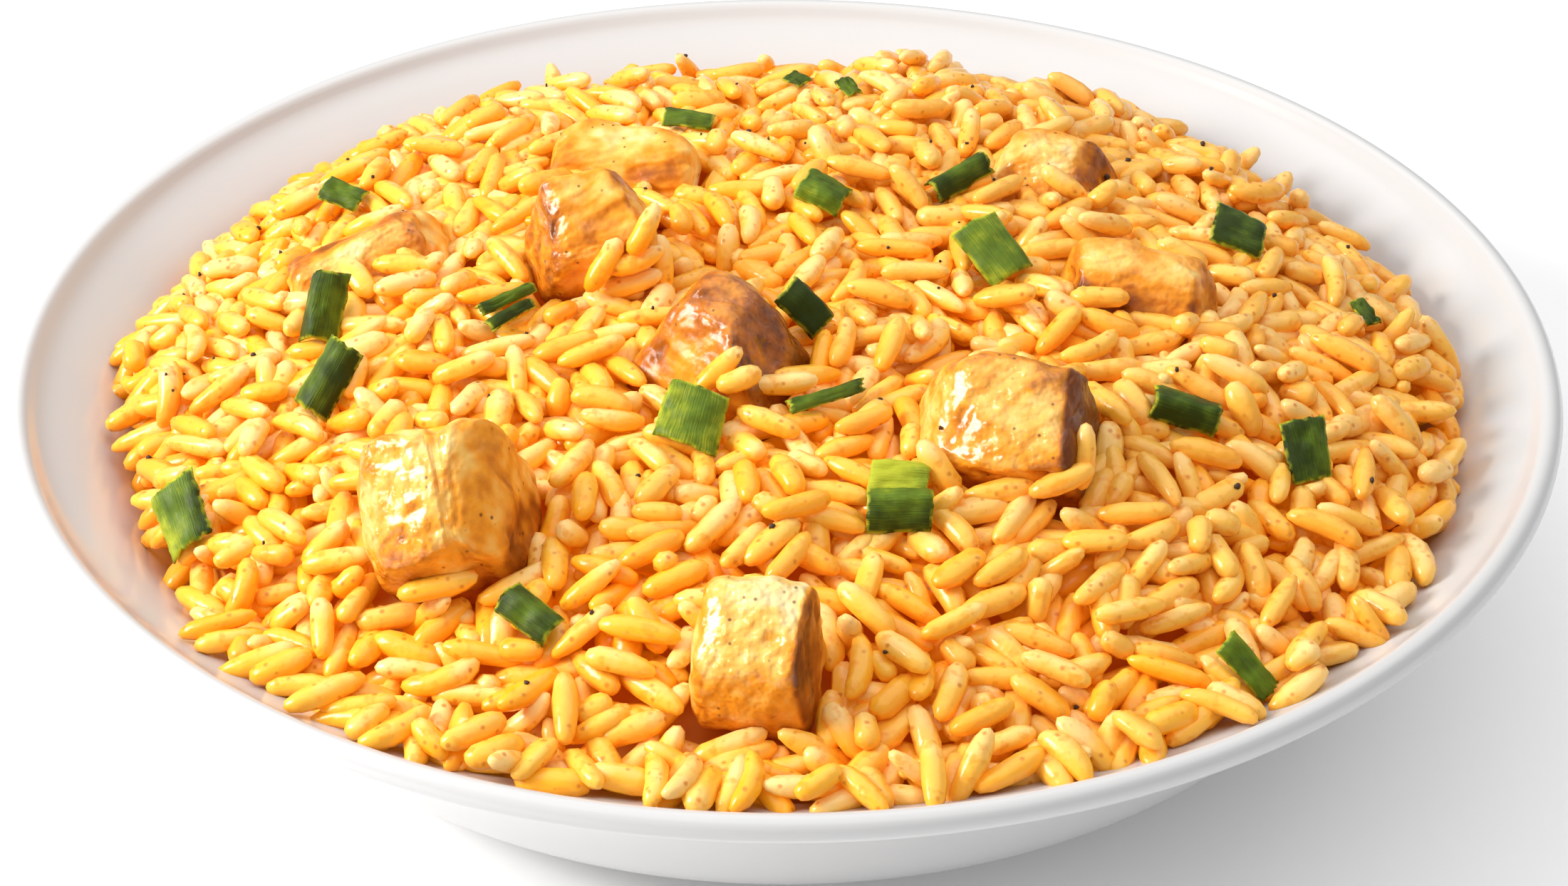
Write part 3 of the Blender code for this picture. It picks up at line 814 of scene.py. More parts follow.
        along = (points @ way)[:, None] * way
        across = points - along
        strands = noise(along / 8.0 + across / 1.5 + index, 31)
        strands = strands + 0.5 * noise(along / 5.0 + across / 0.7 + index, 32)
        torn = smoothstep(0.30, 0.70, noise(along / 7.0 + across / 2.4 + index, 33))
        lumps = layered(points / 5.0 + index * 5.0, 21, 4)
        rotation = turning(*chunk.turn)
        turned = points @ rotation.T
        cut = np.zeros(len(turned))
        # Cuts that face the right are given more searing partly as painted shade.
        for dx, dy, dz, reach, amount in chunk.cuts:
            way = unit_way(dx, dy, dz)
            over = turned @ way - reach
            beyond = self.round * np.logaddexp(0.0, over / self.round)
            turned = turned - 0.9 * beyond[:, None] * way
            cut = cut + amount * smoothstep(-0.8, 1.2, over + 0.7 * layered(points / 2.4, 45, 2))
        facing = point_normals(turned, quads)
        relief = 0.38 * lumps + 0.09 * strands - 0.30 * torn
        placed = turned + facing * relief[:, None] + np.array(chunk.centre)
        brown_and_right_shade = chunk.base + 0.13 * layered(points / 6.0 + index * 11.0, 41, 2)
        brown_and_right_shade = brown_and_right_shade + 0.12 * layered(points / 1.9 + index, 43, 3)
        brown_and_right_shade = brown_and_right_shade + cut + 0.6 * (np.linalg.norm(unit, axis=1) - 1.07)
        brown_and_right_shade = brown_and_right_shade + 0.12 * torn + 0.06 * strands
        # Sides are seared by the way they face; those that face the right are darker partly as
        # painted shade.
        for dx, dy, dz, amount in chunk.seared:
            brown_and_right_shade = brown_and_right_shade + amount * smoothstep(0.15, 0.95, facing @ unit_way(dx, dy, dz))
        wet = 0.12 + 0.35 * layered(points / 3.5 + index, 51, 2)
        for dx, dy, dz, amount in chunk.wet:
            wet = wet + amount * smoothstep(0.3, 0.9, facing @ unit_way(dx, dy, dz))
        wet = np.clip(wet, 0.0, 1.0)
        values = {"brown_and_right_shade": np.clip(brown_and_right_shade, 0.0, 1.0), "wet": wet, "fibre": 0.5 + 0.5 * strands}
        return Surface(placed, quads, values=values)

    def build(self) -> list[Surface]:
        """Make every chunk and return their surfaces, for the rice to settle around."""
        finish = MeatFinish().make("chicken")
        surfaces = []
        for index, chunk in enumerate(self.chunks):
            surface = self.surface(chunk, index)
            made = surface.as_object(f"chicken_chunk_{index + 1}", finish, "chicken")
            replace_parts(made, f"chicken_{index + 1}")
            surfaces.append(surface)
        return surfaces


# Green onion


@dataclass(frozen=True)
class Strip:
    """One green onion piece: its centre, length along the leaf, width and turn.

    Light runs from 0 for dark to 1 for yellow-green, and shift is how much it gains over the width.
    A fold stands up by its share of the width, along the crease's place from -0.5 to 0.5.
    """

    centre: tuple
    length: float
    width: float
    turn: tuple
    light: float = 0.3
    shift: float = 0.0
    curl: float = 0.0
    ragged: float = 1.0
    fold: float = 0.0
    crease: float = 0.0


@dataclass
class GreenOnion:
    """The cut pieces of green onion leaf, curled as the leaf was."""

    thickness: float = 0.62
    rows: int = 19
    columns: int = 15
    strips: tuple = (
        Strip((-14.5, 43.3, 53.5), 7.8, 4.0, (5.0, 0.0, -14.0), 0.15, 0.0, 0.6),
        Strip((25.7, 21.5, 55.2), 10.2, 3.8, (18.0, 0.0, 38.0), 0.0, 0.3, 0.5, 3.0, 0.5, 0.1),
        Strip((5.8, 15.1, 55.6), 6.9, 5.9, (32.0, 5.0, -28.0), 0.25, -0.3, 0.2, 2.0, 0.3, -0.25),
        Strip((-65.3, 24.5, 50.7), 6.8, 4.0, (25.0, -8.0, -28.0), 0.1),
        Strip((65.8, 10.7, 50.9), 7.9, 6.8, (38.0, 10.0, -22.0), -0.2, 0.0, 0.0, 1.5, 0.3, -0.36),
        Strip((29.4, -2.9, 55.4), 9.9, 7.2, (30.0, 5.0, -56.0), 0.4, 0.1),
        Strip((-64.3, -10.6, 51.2), 9.8, 5.3, (48.0, -13.0, 79.0), 0.0, -0.3, 0.7, 2.0, 0.6, 0.12),
        Strip((-38.4, -12.6, 54.9), 9.0, 2.0, (8.0, 0.0, 37.0), 0.05, 0.0, 0.8),
        Strip((-37.6, -16.2, 54.6), 7.8, 2.0, (8.0, 0.0, 43.0), -0.1, 0.2, 0.8),
        Strip((3.2, -18.0, 56.4), 7.5, 5.4, (30.0, 30.0, -36.0), -0.35, 0.5, 0.3, 2.0, 0.5, 0.1),
        Strip((83.0, -0.8, 45.5), 4.7, 2.5, (18.0, 12.0, -63.0), 0.1),
        Strip((-61.7, -27.2, 50.4), 10.2, 5.4, (46.0, -10.0, 61.0), 0.0, 0.9, 0.0, 1.5, 0.35, 0.05),
        Strip((5.5, -37.8, 55.0), 10.8, 2.4, (8.0, 0.0, 24.0), 0.05, 0.0, 0.6, 2.5),
        Strip((53.5, -36.0, 51.4), 9.1, 5.7, (30.0, 8.0, -16.0), -0.05, 0.3, 0.2, 2.0, 0.8, -0.12),
        Strip((-12.0, -43.2, 54.4), 8.2, 8.4, (38.0, 0.0, 75.0), 0.45),
        Strip((69.4, -40.0, 47.0), 8.4, 6.3, (42.0, 16.0, -80.0), -0.05, 0.4, 0.0, 1.8),
        Strip((14.7, -54.7, 53.4), 7.6, 4.8, (30.0, 0.0, -2.0), 0.9, 0.3),
        Strip((14.7, -60.2, 52.0), 8.3, 5.6, (34.0, 0.0, 0.0), 0.15, 0.4, 0.1, 1.0, 0.5, 0.12),
        Strip((-79.2, -48.1, 40.9), 9.6, 6.7, (42.0, -22.0, -66.0), 0.3, -0.9, 0.0, 2.5),
        Strip((-31.5, -76.1, 46.3), 8.3, 4.4, (28.0, -8.0, -42.0), 0.0, 0.3, 0.0, 1.5, 0.3, 0.15),
        Strip((57.6, -78.4, 39.6), 8.6, 3.6, (37.0, 16.0, -46.0), 0.25, 0.4, 0.3, 1.5),
        Strip((2.1, 64.4, 49.3), 3.6, 2.9, (8.0, 0.0, -38.0), 0.1),
        Strip((10.1, 58.2, 51.1), 4.6, 2.6, (8.0, 0.0, -62.0), 0.1),
    )

    def surface(self, strip: Strip, index: int) -> Surface:
        """Work out one piece.

        Over u along the leaf and v across it, the middle surface rises by c w (0.12 - 0.9 v^2) for
        the leaf's curl c and width w, by b (0.2 - 2 u^2) for its bow b, and by a roof along its
        fold. Both faces lie half a thickness to each side, less near the cut edges.

        Args:
            strip: The piece's sizes.
            index: Its place in the list, which seeds its curl.

        Returns:
            The closed surface, with its rim and light values and its uv map.
        """
        chance = random.Random(SEED + 40 + index)
        curl = chance.uniform(0.35, 0.8) + strip.curl
        bow = chance.uniform(-0.25, 0.35)
        slant = chance.uniform(-0.14, 0.14)
        lines = (np.linspace(-0.5, 0.5, count) for count in (self.rows, self.columns))
        u, v = np.meshgrid(*lines, indexing="ij")
        seed = np.stack([u * 5.0, v * 5.0, np.full_like(u, index * 3.7)], -1)
        ragged = strip.ragged * (0.035 * noise(seed * 1.7, 61) + 0.02 * noise(seed * 5.0, 62))
        along = strip.length * u * (1.0 + 2.0 * np.abs(u) * ragged) + slant * strip.width * v
        across = strip.width * v * (1.0 - 0.10 * u + ragged)
        bend = curl * strip.width * (0.12 - v * v * 0.9) + bow * (0.2 - 2.0 * u * u)
        roof = 0.25 - np.sqrt((v - strip.crease - 0.1 * u) ** 2 + 0.002)
        bend = bend + 0.35 * noise(seed, 63) + strip.fold * strip.width * roof
        middle = np.stack([along, across, bend], -1)
        du, dv = np.gradient(middle, axis=0), np.gradient(middle, axis=1)
        normal = np.cross(du, dv)
        normal = normal / np.linalg.norm(normal, axis=-1, keepdims=True)
        rim = np.maximum(np.abs(u), np.abs(v)) * 2.0
        half = 0.5 * self.thickness * (1.0 - 0.55 * smoothstep(0.8, 1.0, rim))
        ribs = 0.05 * noise(np.stack([u * 2.0, v * 26.0, seed[..., 2]], -1), 64)
        upper = middle + normal * (half + ribs)[..., None]
        lower = middle - normal * (half - ribs)[..., None]
        n, m = self.rows, self.columns
        points = np.vstack([upper.reshape(-1, 3), lower.reshape(-1, 3)])
        square = sheet_faces(n, m)
        around = np.concatenate([
            np.arange(n - 1) * m, (n - 1) * m + np.arange(m - 1), (n - np.arange(n - 1)) * m - 1,
            m - 1 - np.arange(m - 1),
        ])
        ahead = np.roll(around, -1)
        side = np.stack([around, around + n * m, ahead + n * m, ahead], -1)
        quads = np.vstack([square, square[:, ::-1] + n * m, side])
        placed = points @ turning(*strip.turn).T + np.array(strip.centre)
        low, high = (np.array(corner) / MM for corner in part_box(f"green_onion_{index + 1:02d}"))
        placed[:, 2] += (low[2] + high[2]) / 2.0 - (placed[:, 2].min() + placed[:, 2].max()) / 2.0
        uv = np.tile(np.stack([u, v], -1).reshape(-1, 2) + 0.5, (2, 1))
        edge = np.tile(smoothstep(0.93, 1.0, rim).ravel(), 2)
        light = np.tile((strip.light + strip.shift * v).ravel(), 2)
        return Surface(placed, quads, values={"rim": edge, "light": light}, uv=uv)

    def build(self) -> list[Surface]:
        """Make every piece and return their surfaces, for the rice to stay under."""
        finish = LeafFinish().make("green_onion")
        surfaces = []
        for index, strip in enumerate(self.strips):
            surface = self.surface(strip, index)
            made = surface.as_object(f"onion_piece_{index + 1:02d}", finish, "green_onion")
            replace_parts(made, f"green_onion_{index + 1:02d}")
            surfaces.append(surface)
        return surfaces


# Rice


class GrainKind(Enum):
    """The kinds of cooked grain in the dish."""

    LONG = "long"
    FULL = "full"
    CURVED = "curved"
    SPLIT = "split"
    BROKEN = "broken"


@dataclass(frozen=True)
class GrainShape:
    """Sizes of one kind of grain, in mm, and how its outline runs."""

    share: float
    length: tuple
    width: tuple
    flat: float
    blunt: float
    tip: float
    bend: float
    groove: float


GRAINS = {
    GrainKind.LONG: GrainShape(0.40, (9.0, 11.2), (3.0, 3.6), 0.88, 2.9, 0.14, 0.30, 0.0),
    GrainKind.FULL: GrainShape(0.24, (8.0, 10.0), (3.4, 4.0), 0.86, 3.4, 0.10, 0.15, 0.0),
    GrainKind.CURVED: GrainShape(0.17, (8.6, 10.8), (3.0, 3.6), 0.88, 3.1, 0.12, 0.95, 0.0),
    GrainKind.SPLIT: GrainShape(0.09, (7.6, 9.8), (3.4, 4.0), 0.80, 2.9, 0.05, 0.2, 0.30),
    GrainKind.BROKEN: GrainShape(0.10, (4.8, 7.0), (3.0, 3.6), 0.90, 3.8, 0.20, 0.05, 0.05),
}


@dataclass(frozen=True)
class Course:
    """One course of the pile, with its heights in mm.

    Its grains are laid where the pile is lower than the wanted surface by more than below, and may
    rest no higher over it than proud. Their support runs from 0, the mean height of the ground
    under them, to 1, its highest point.
    """

    below: float
    proud: float
    support: float
    sink: float
    most: int
    steep: float


@dataclass
class Laid:
    """Grains that have been laid: one row of numbers each, and the kind of each."""

    rows: list = field(default_factory=list)
    kinds: list = field(default_factory=list)


@dataclass
class Pile:
    """Lays grains one by one on a height map until the heap is full.

    The map holds the top of what has been laid, in cells of the given size. Each grain goes where
    the heap is lowest under its final surface, the way round in which it lies low. Its middle is
    off the cell's by up to jitter, its pitch varies by pitch_spread or lies in steep_pitch, and it
    may stand over a ceiling by touch at most.
    """

    heap: HeapShape
    plate: PlateShape
    cell: float = 0.5
    half: float = 108.0
    lowered: float = 0.8
    cover: float = 2.6
    margins: tuple = (
        (2.0, 0.6, 2.4), (0.45, 0.4, 3.2), (-0.6, 0.35, -0.9), (-2.2, 0.5, -1.6),
        (1.36, 0.10, -2.6), (0.84, 0.10, -2.4), (-2.68, 0.34, 5.2), (-0.2, 0.25, 1.6),
        (-1.0, 0.2, -1.5),
    )
    yaws: int = 5
    pitches: int = 3
    reach: int = 11
    picks: int = 260
    patience: int = 60
    jitter: float = 0.25
    pitch_spread: float = 0.27
    steep_pitch: tuple = (0.6, 1.15)
    roll_limit: float = 0.6
    touch: float = 0.15
    courses: tuple = (
        Course(2.8, 1.0, 0.25, 0.2, 3400, 0.10), Course(0.9, 1.2, 0.80, 0.3, 2600, 0.10),
        Course(-1.8, 2.6, 1.0, 0.35, 200, 0.06),
    )

    def prepare(self, chunks: list[Surface], strips: list[Surface]) -> None:
        """Set up the maps: the ground, the wanted surface, and the ceilings under what lies on top.

        Args:
            chunks: The chicken's surfaces, in mm.
            strips: The onion pieces' surfaces, in mm.
        """
        self.count = int(2 * self.half / self.cell) + 1
        line = np.arange(self.count) * self.cell - self.half
        self.y, self.x = np.meshgrid(line, line, indexing="ij")
        radius, angle = np.hypot(self.x, self.y), np.arctan2(self.y, self.x)
        flat = np.stack([self.x, self.y, np.zeros_like(self.x)], -1)
        edge = self.heap.edge(angle) + 1.5 * noise(flat / 9.0, 71) + 1.1 * noise(flat / 3.5, 72)
        wall = self.plate.wall(radius)
        smooth = self.heap.height(self.x, self.y)
        inner = smoothstep(self.heap.radius + 1.0, self.heap.radius - 16.0, radius)
        rough = 1.3 * noise(flat / 11.0, 73) + 1.1 * noise(flat / 6.0, 74)
        sag = self.heap.sag(self.x, self.y)
        self.wanted = np.maximum(smooth - self.lowered - sag + rough * inner, wall + 3.0)
        self.inside = radius < edge - self.margin(angle)
        core = np.maximum(smooth - sag - self.heap.core_depth, wall + 0.4)
        self.floor = np.where(radius < self.heap.core_edge(angle), core, wall)
        self.ceiling = np.full_like(self.x, NO_HEIGHT)
        for surface in chunks:
            low, high = self.spread(surface)
            sunk = (high > -NO_HEIGHT) & (low < smooth + 0.4)
            above = (high > -NO_HEIGHT) & ~sunk
            block = sunk & (high > smooth + self.cover)
            beside = (np.roll(block, step, axis) for axis in (0, 1) for step in (1, -1))
            block = np.logical_and.reduce([block, *beside])
            self.floor = np.where(sunk, np.maximum(self.floor, high), self.floor)
            self.inside = self.inside & ~block
            self.ceiling = np.where(above, np.minimum(self.ceiling, low - 0.1), self.ceiling)
        for surface in strips:
            low, high = self.spread(surface)
            under = high > -NO_HEIGHT
            self.ceiling = np.where(under, np.minimum(self.ceiling, low + 0.12), self.ceiling)
            low = np.where(under, low, NO_HEIGHT)
            for k in range(1, 9):
                self.ceiling = np.minimum(self.ceiling, np.roll(low, -k, 0) + 0.5 + 0.3 * k)
        self.wanted = np.minimum(self.wanted, self.ceiling - 0.3)
        self.top = self.floor.copy()
        self.owner = np.full(self.x.shape, -1)

    def margin(self, angle: Array) -> Array:
        """How far inside the heap's edge the last grains' middles lie.

        It is more at the far side than at the near side, and each margin (at, width, rise) adds its
        rise times exp(-((angle - at) / width)^2).
        """
        local = sum(rise * np.exp(-((angle - at) / width) ** 2) for at, width, rise in self.margins)
        far, right = np.sin(angle), np.cos(angle)
        return 2.0 + 2.8 * far + 1.9 * np.maximum(far, 0.0) + 0.9 * right + local

    def cell_of(self, x: Array, y: Array) -> tuple[Array, Array]:
        """Row and column of the cells that hold places, kept on the map."""
        i, j = (np.round((place + self.half) / self.cell).astype(int) for place in (y, x))
        return np.clip(i, 0, self.count - 1), np.clip(j, 0, self.count - 1)

    def spread(self, surface: Surface) -> tuple[Array, Array]:
        """Lowest and highest point of a surface in each cell, with one-cell holes filled."""
        low, high = np.full_like(self.x, NO_HEIGHT), np.full_like(self.x, -NO_HEIGHT)
        corners = surface.points[surface.quads]
        weights = ((1, 0, 0, 0), (0.5, 0.5, 0, 0), (0.5, 0, 0, 0.5), (0.25, 0.25, 0.25, 0.25))
        dense = np.vstack([np.einsum("k,nkc->nc", np.array(w), corners) for w in weights])
        cells = self.cell_of(dense[:, 0], dense[:, 1])
        np.minimum.at(low, cells, dense[:, 2])
        np.maximum.at(high, cells, dense[:, 2])
        return low, high

    def lay(self) -> Laid:
        """Lay every course.

        Returns:
            The grains that can be seen from above.
        """
        chance = np.random.default_rng(SEED)
        laid = Laid()
        reach = np.arange(-self.reach, self.reach + 1)
        self.window = [steps.ravel() for steps in np.meshgrid(reach, reach, indexing="ij")]
        self.slope = np.gradient(self.heap.height(self.x, self.y), self.cell)
        for course in self.courses:
            before = len(laid.rows)
            self.lay_course(course, laid, chance)
            LOG.info("course of %d grains", len(laid.rows) - before)
        seen = np.bincount(self.owner[self.owner >= 0], minlength=len(laid.rows)) > 1
        keep = np.nonzero(seen)[0]
        return Laid([laid.rows[k] for k in keep], [laid.kinds[k] for k in keep])

    def lay_course(self, course: Course, laid: Laid, chance: np.random.Generator) -> None:
        """Lay one course, until it is full or nothing more fits.

        Args:
            course: How its grains lie.
            laid: What has been laid so far, which it adds to.
            chance: Random numbers.
        """
        kinds, shares = list(GRAINS), np.array([shape.share for shape in GRAINS.values()])
        rows, columns = np.nonzero(self.inside)
        skip = np.zeros(self.x.shape)
        limit = len(laid.rows) + course.most
        idle = 0
        while len(laid.rows) < limit and idle < self.patience:
            pick = chance.integers(0, len(rows), self.picks)
            lack = (self.wanted - self.top - skip)[rows[pick], columns[pick]]
            best = np.argmax(lack + chance.uniform(0.0, 0.5, self.picks))
            i, j = rows[pick[best]], columns[pick[best]]
            if lack[best] < course.below:
                idle += 1
                continue
            kind = kinds[chance.choice(len(kinds), p=shares)]
            placed = self.settle(i, j, GRAINS[kind], course, chance, len(laid.rows))
            if placed is None:
                skip[max(i - 1, 0):i + 2, max(j - 1, 0):j + 2] += 1.0
                continue
            idle = 0
            laid.rows.append(placed)
            laid.kinds.append(kind)

    def settle(self, i: int, j: int, shape: GrainShape, course: Course,
               chance: np.random.Generator, mark: int) -> tuple | None:
        """Lay one grain over a cell, in the lowest of several ways round.

        A grain is an ellipsoid with half axes a, b and c. With its long axis at pitch p, its upper
        and lower faces stand above its centre by (a^2 - c^2) sin p cos p s / A^2 plus or minus
        (a c / A) (1 - (s / A)^2 - (w / b)^2)^(1/2), where s and w run along and across it in plan
        and A^2 = a^2 cos^2 p + c^2 sin^2 p.

        Args:
            i: The cell's row.
            j: The cell's column.
            shape: The grain's kind.
            course: The course that it belongs to.
            chance: Random numbers.
            mark: The grain's number on the map of owners.

        Returns:
            Its place, yaw, pitch, roll and sizes, or None where it would stand too high.
        """
        a, b = chance.uniform(*shape.length) / 2.0, chance.uniform(*shape.width) / 2.0
        c = b * shape.flat
        x = self.x[i, j] + chance.uniform(-self.jitter, self.jitter)
        y = self.y[i, j] + chance.uniform(-self.jitter, self.jitter)
        ii = np.clip(i + self.window[0], 0, self.count - 1)
        jj = np.clip(j + self.window[1], 0, self.count - 1)
        dx, dy = self.x[ii, jj] - x, self.y[ii, jj] - y
        yaw = chance.uniform(0.0, np.pi, self.yaws)
        rise = self.slope[1][i, j] * np.cos(yaw) + self.slope[0][i, j] * np.sin(yaw)
        ways = (self.yaws, self.pitches)
        pitch = np.arctan(rise)[:, None] + chance.normal(0.0, self.pitch_spread, ways)
        if chance.random() < course.steep:
            side = chance.choice((-1.0, 1.0))
            pitch = side * chance.uniform(*self.steep_pitch, ways)
        s = (np.cos(yaw)[:, None] * dx + np.sin(yaw)[:, None] * dy)[:, None, :]
        w = (np.cos(yaw)[:, None] * dy - np.sin(yaw)[:, None] * dx)[:, None, :]
        sin, cos = np.sin(pitch)[..., None], np.cos(pitch)[..., None]
        plan = a * a * cos * cos + c * c * sin * sin
        root = 1.0 - s * s / plan - w * w / (b * b)
        on = root > 0.0
        thick = a * c / np.sqrt(plan) * np.sqrt(np.maximum(root, 0.0))
        lift = (a * a - c * c) * sin * cos / plan * s
        ground = self.top[ii, jj] - lift + thick
        highest = np.where(on, ground, -NO_HEIGHT).max(-1)
        mean = np.where(on, ground, 0.0).sum(-1) / np.maximum(on.sum(-1), 1)
        rest = mean + (highest - mean) * course.support - course.sink
        upper = rest[..., None] + lift + thick
        over = np.where(on, upper - self.ceiling[ii, jj], -NO_HEIGHT).max(-1)
        high = np.where(on, upper, -NO_HEIGHT).max(-1) - self.wanted[i, j]
        score = rest + 0.3 * np.maximum(high - 1.0, 0.0) + chance.uniform(0.0, 1.0, rest.shape)
        barred = (over > self.touch) | (rest > self.wanted[i, j] + course.proud)
        score = np.where(barred, NO_HEIGHT, score)
        k, m = np.unravel_index(np.argmin(score), score.shape)
        if score[k, m] >= NO_HEIGHT:
            return None
        take = on[k, m] & (upper[k, m] > self.top[ii, jj])
        self.top[ii[take], jj[take]] = upper[k, m][take]
        self.owner[ii[take], jj[take]] = mark
        roll = chance.uniform(-self.roll_limit, self.roll_limit)
        return x, y, rest[k, m], yaw[k], pitch[k, m], roll, 2 * a, 2 * b, 2 * c


@dataclass
class Rice:
    """The heap of rice: a core that is hardly seen, and real grains all over it.

    Each leaning grain is its middle, how many degrees it stands up to the right of level, seen from
    the near side, its length and its width. It lies back on the chunk behind it by the slope.
    """

    heap: HeapShape = field(default_factory=HeapShape)
    plate: PlateShape = field(default_factory=PlateShape)
    sides: int = 8
    rings: int = 7
    slope: float = 33.4
    leaning: tuple = (
        (-19.2, -8.4, 63.3, 63.0, 8.2, 3.3), (-24.9, -9.8, 58.5, 59.0, 9.0, 3.4),
        (-20.4, -9.0, 58.7, 21.0, 8.6, 3.3), (-21.3, -9.0, 55.0, 17.0, 9.4, 3.3),
        (-16.9, -6.1, 56.6, 97.0, 8.2, 3.2), (-50.9, -1.7, 53.0, 36.0, 7.6, 3.0),
        (-8.7, -35.6, 57.4, 43.0, 8.8, 3.2), (-5.9, -37.8, 57.4, 20.0, 6.4, 3.2),
        (-0.1, -34.2, 54.5, 5.0, 9.6, 3.3), (38.5, -53.1, 55.4, 86.0, 8.8, 3.0),
        (19.8, -52.3, 53.2, -55.0, 8.6, 3.8), (27.7, -55.2, 51.5, 10.0, 9.6, 3.4),
        (35.4, -56.2, 53.7, 22.0, 9.2, 3.4), (38.9, -14.1, 54.1, -34.0, 7.0, 3.6),
        (41.8, -12.1, 53.9, -60.0, 4.6, 3.4), (44.6, -17.2, 53.4, -20.0, 9.0, 3.4),
        (58.9, -16.1, 51.5, -3.0, 8.6, 3.2), (41.1, 21.3, 54.1, -34.0, 8.0, 3.2),
        (46.8, 19.4, 53.4, 40.0, 5.4, 3.4), (-43.2, -71.1, 48.0, 14.0, 10.6, 3.4),
    )

    def lean(self) -> list[tuple]:
        """Place the leaning grains.

        The way of one is (cos a, sin a sin s, sin a cos s) for its angle a and the slope s.
        """
        slope = math.radians(self.slope)
        rows = []
        for x, y, z, angle, length, width in self.leaning:
            a = math.radians(angle)
            way = (math.cos(a), math.sin(a) * math.sin(slope), math.sin(a) * math.cos(slope))
            yaw, pitch, roll = math.atan2(way[1], way[0]), math.asin(way[2]), 0.3
            rows.append((x, y, z, yaw, pitch, roll, length, width, 0.9 * width))
        return rows

    def core(self) -> Surface:
        """The core: the heap lowered to the grains' ground above, the plate's inside below.

        Both faces are grids of radius share by angle, joined at their outer ring.
        """
        turns, steps, depth = 120, 26, self.heap.core_depth + 0.3
        angle = np.arange(turns) * 2 * np.pi / turns
        share = (np.arange(1, steps + 1) / steps)[:, None]
        radius = self.heap.core_edge(angle) * share
        x, y = radius * np.cos(angle), radius * np.sin(angle)
        wall = self.plate.wall(radius)
        over = np.maximum(self.heap.height(x, y) - self.heap.sag(x, y) - depth, wall + 0.35)
        faces = [np.stack([x, y, z], -1).reshape(-1, 3) for z in (over, wall + 0.2)]
        middle = np.array([[0.0, 0.0, self.heap.top_height - depth], [0.0, 0.0, 6.1]])
        sheet = ring_faces(steps, turns)
        size = steps * turns
        j = np.arange(turns)
        k = (j + 1) % turns
        last = size - turns
        rim = np.stack([last + j, size + last + j, size + last + k, last + k], -1)
        caps = [fan_faces(2 * size, 0, turns), fan_faces(2 * size + 1, size, turns, True)]
        quads = np.vstack([sheet, sheet[:, ::-1] + size, rim])
        return Surface(np.vstack([*faces, middle]), quads, np.vstack(caps))

    def smooth_grain(self, blunt: float) -> tuple[Array, Array, Array]:
        """A smooth grain of length 2 and width 2 along +X.

        Over t from -1 to 1 along it, its radius is (1 - |t|^blunt)^(1/2).
        """
        t = -np.cos(np.pi * np.arange(1, self.rings) / self.rings)
        t = (np.sign(t) * np.abs(t) ** 0.9)[:, None]
        around = 2 * np.pi * np.arange(self.sides) / self.sides
        radius = np.sqrt(1.0 - np.abs(t) ** blunt)
        ring = np.stack([t + 0 * around, radius * np.cos(around), radius * np.sin(around)], -1)
        unit = np.vstack([ring.reshape(-1, 3), [[-1.0, 0.0, 0.0]], [[1.0, 0.0, 0.0]]])
        size, sides = (self.rings - 1) * self.sides, self.sides
        quads = ring_faces(self.rings - 1, sides)[:, [0, 3, 2, 1]]
        tips = fan_faces(size, 0, sides, True), fan_faces(size + 1, size - sides, sides)
        return unit, quads, np.vstack(tips)

    def grains(self, rows: Array, kind: GrainKind, pile: Pile,
               chance: np.random.Generator) -> Surface:
        """Work out all grains of one kind in one go.

        A smooth grain's radius is multiplied by 1 - tip t over t from -1 to 1 along it, with slight
        waves. A split grain has a groove along its back, and the middle line bends by the square
        of t.

        Args:
            rows: One row for each grain: place, yaw, pitch, roll, length, width and height.
            kind: Which kind they are.
            pile: The finished pile, for how deep each grain lies.
            chance: Random numbers.

        Returns:
            One surface with all the grains, and their tone, beige and sunk values.
        """
        shape = GRAINS[kind]
        count = len(rows)
        unit, quads, tris = self.smooth_grain(shape.blunt)
        along, side, up = unit.T
        x, y, z, yaw, pitch, roll, length, width, height = (rows[:, c][:, None] for c in range(9))
        tip = shape.tip * chance.uniform(-1.0, 1.0, (count, 1))
        wave = 1.0 + 0.045 * np.sin(5.5 * along + chance.uniform(0, 6.3, (count, 1)))
        uneven = 0.03 * chance.normal(0, 1, (count, len(unit))) * (1 - along ** 2)
        wave = wave * (1.0 - tip * along) + uneven
        groove = shape.groove * np.exp(-(side / 0.33) ** 2) * (up > 0.3) * (1.0 - along ** 4)
        bend = shape.bend * chance.uniform(0.4, 1.4, (count, 1)) * (along ** 2 - 0.33)
        px = length / 2 * along
        py = width / 2 * side * wave + bend * np.cos(roll)
        pz = height / 2 * (up - groove) * wave - np.abs(bend * np.sin(roll)) * 0.4
        cr, sr = np.cos(roll), np.sin(roll)
        py, pz = py * cr - pz * sr, py * sr + pz * cr
        cp, sp = np.cos(pitch), np.sin(pitch)
        flat, high = px * cp - pz * sp, px * sp + pz * cp
        cy, sy = np.cos(yaw), np.sin(yaw)
        points = np.stack([x + flat * cy - py * sy, y + flat * sy + py * cy, z + high], -1)
        tone_and_top_light = chance.normal(0.43, 0.20, (count, 1)) + 0.10 * np.abs(along) ** 3
        # Painted light: the upper side of each grain is painted paler, as if lit from above.
        tone_and_top_light = np.clip(tone_and_top_light + 0.28 * high / (height / 2), 0.0, 1.0)
        over_x, over_y = points[..., 0], points[..., 1]
        local = self.heap.height(over_x, over_y) - self.heap.sag(over_x, over_y)
        local = np.maximum(local, pile.wanted[pile.cell_of(x, y)] - 1.0)
        # How far each point lies below the surface; the material paints it as darker orange and
        # glowing, as painted shade and glow in the gaps.
        sunk = smoothstep(0.6, 4.8, local - points[..., 2]) * 0.85
        place = np.stack([x, y, 0 * x], -1)
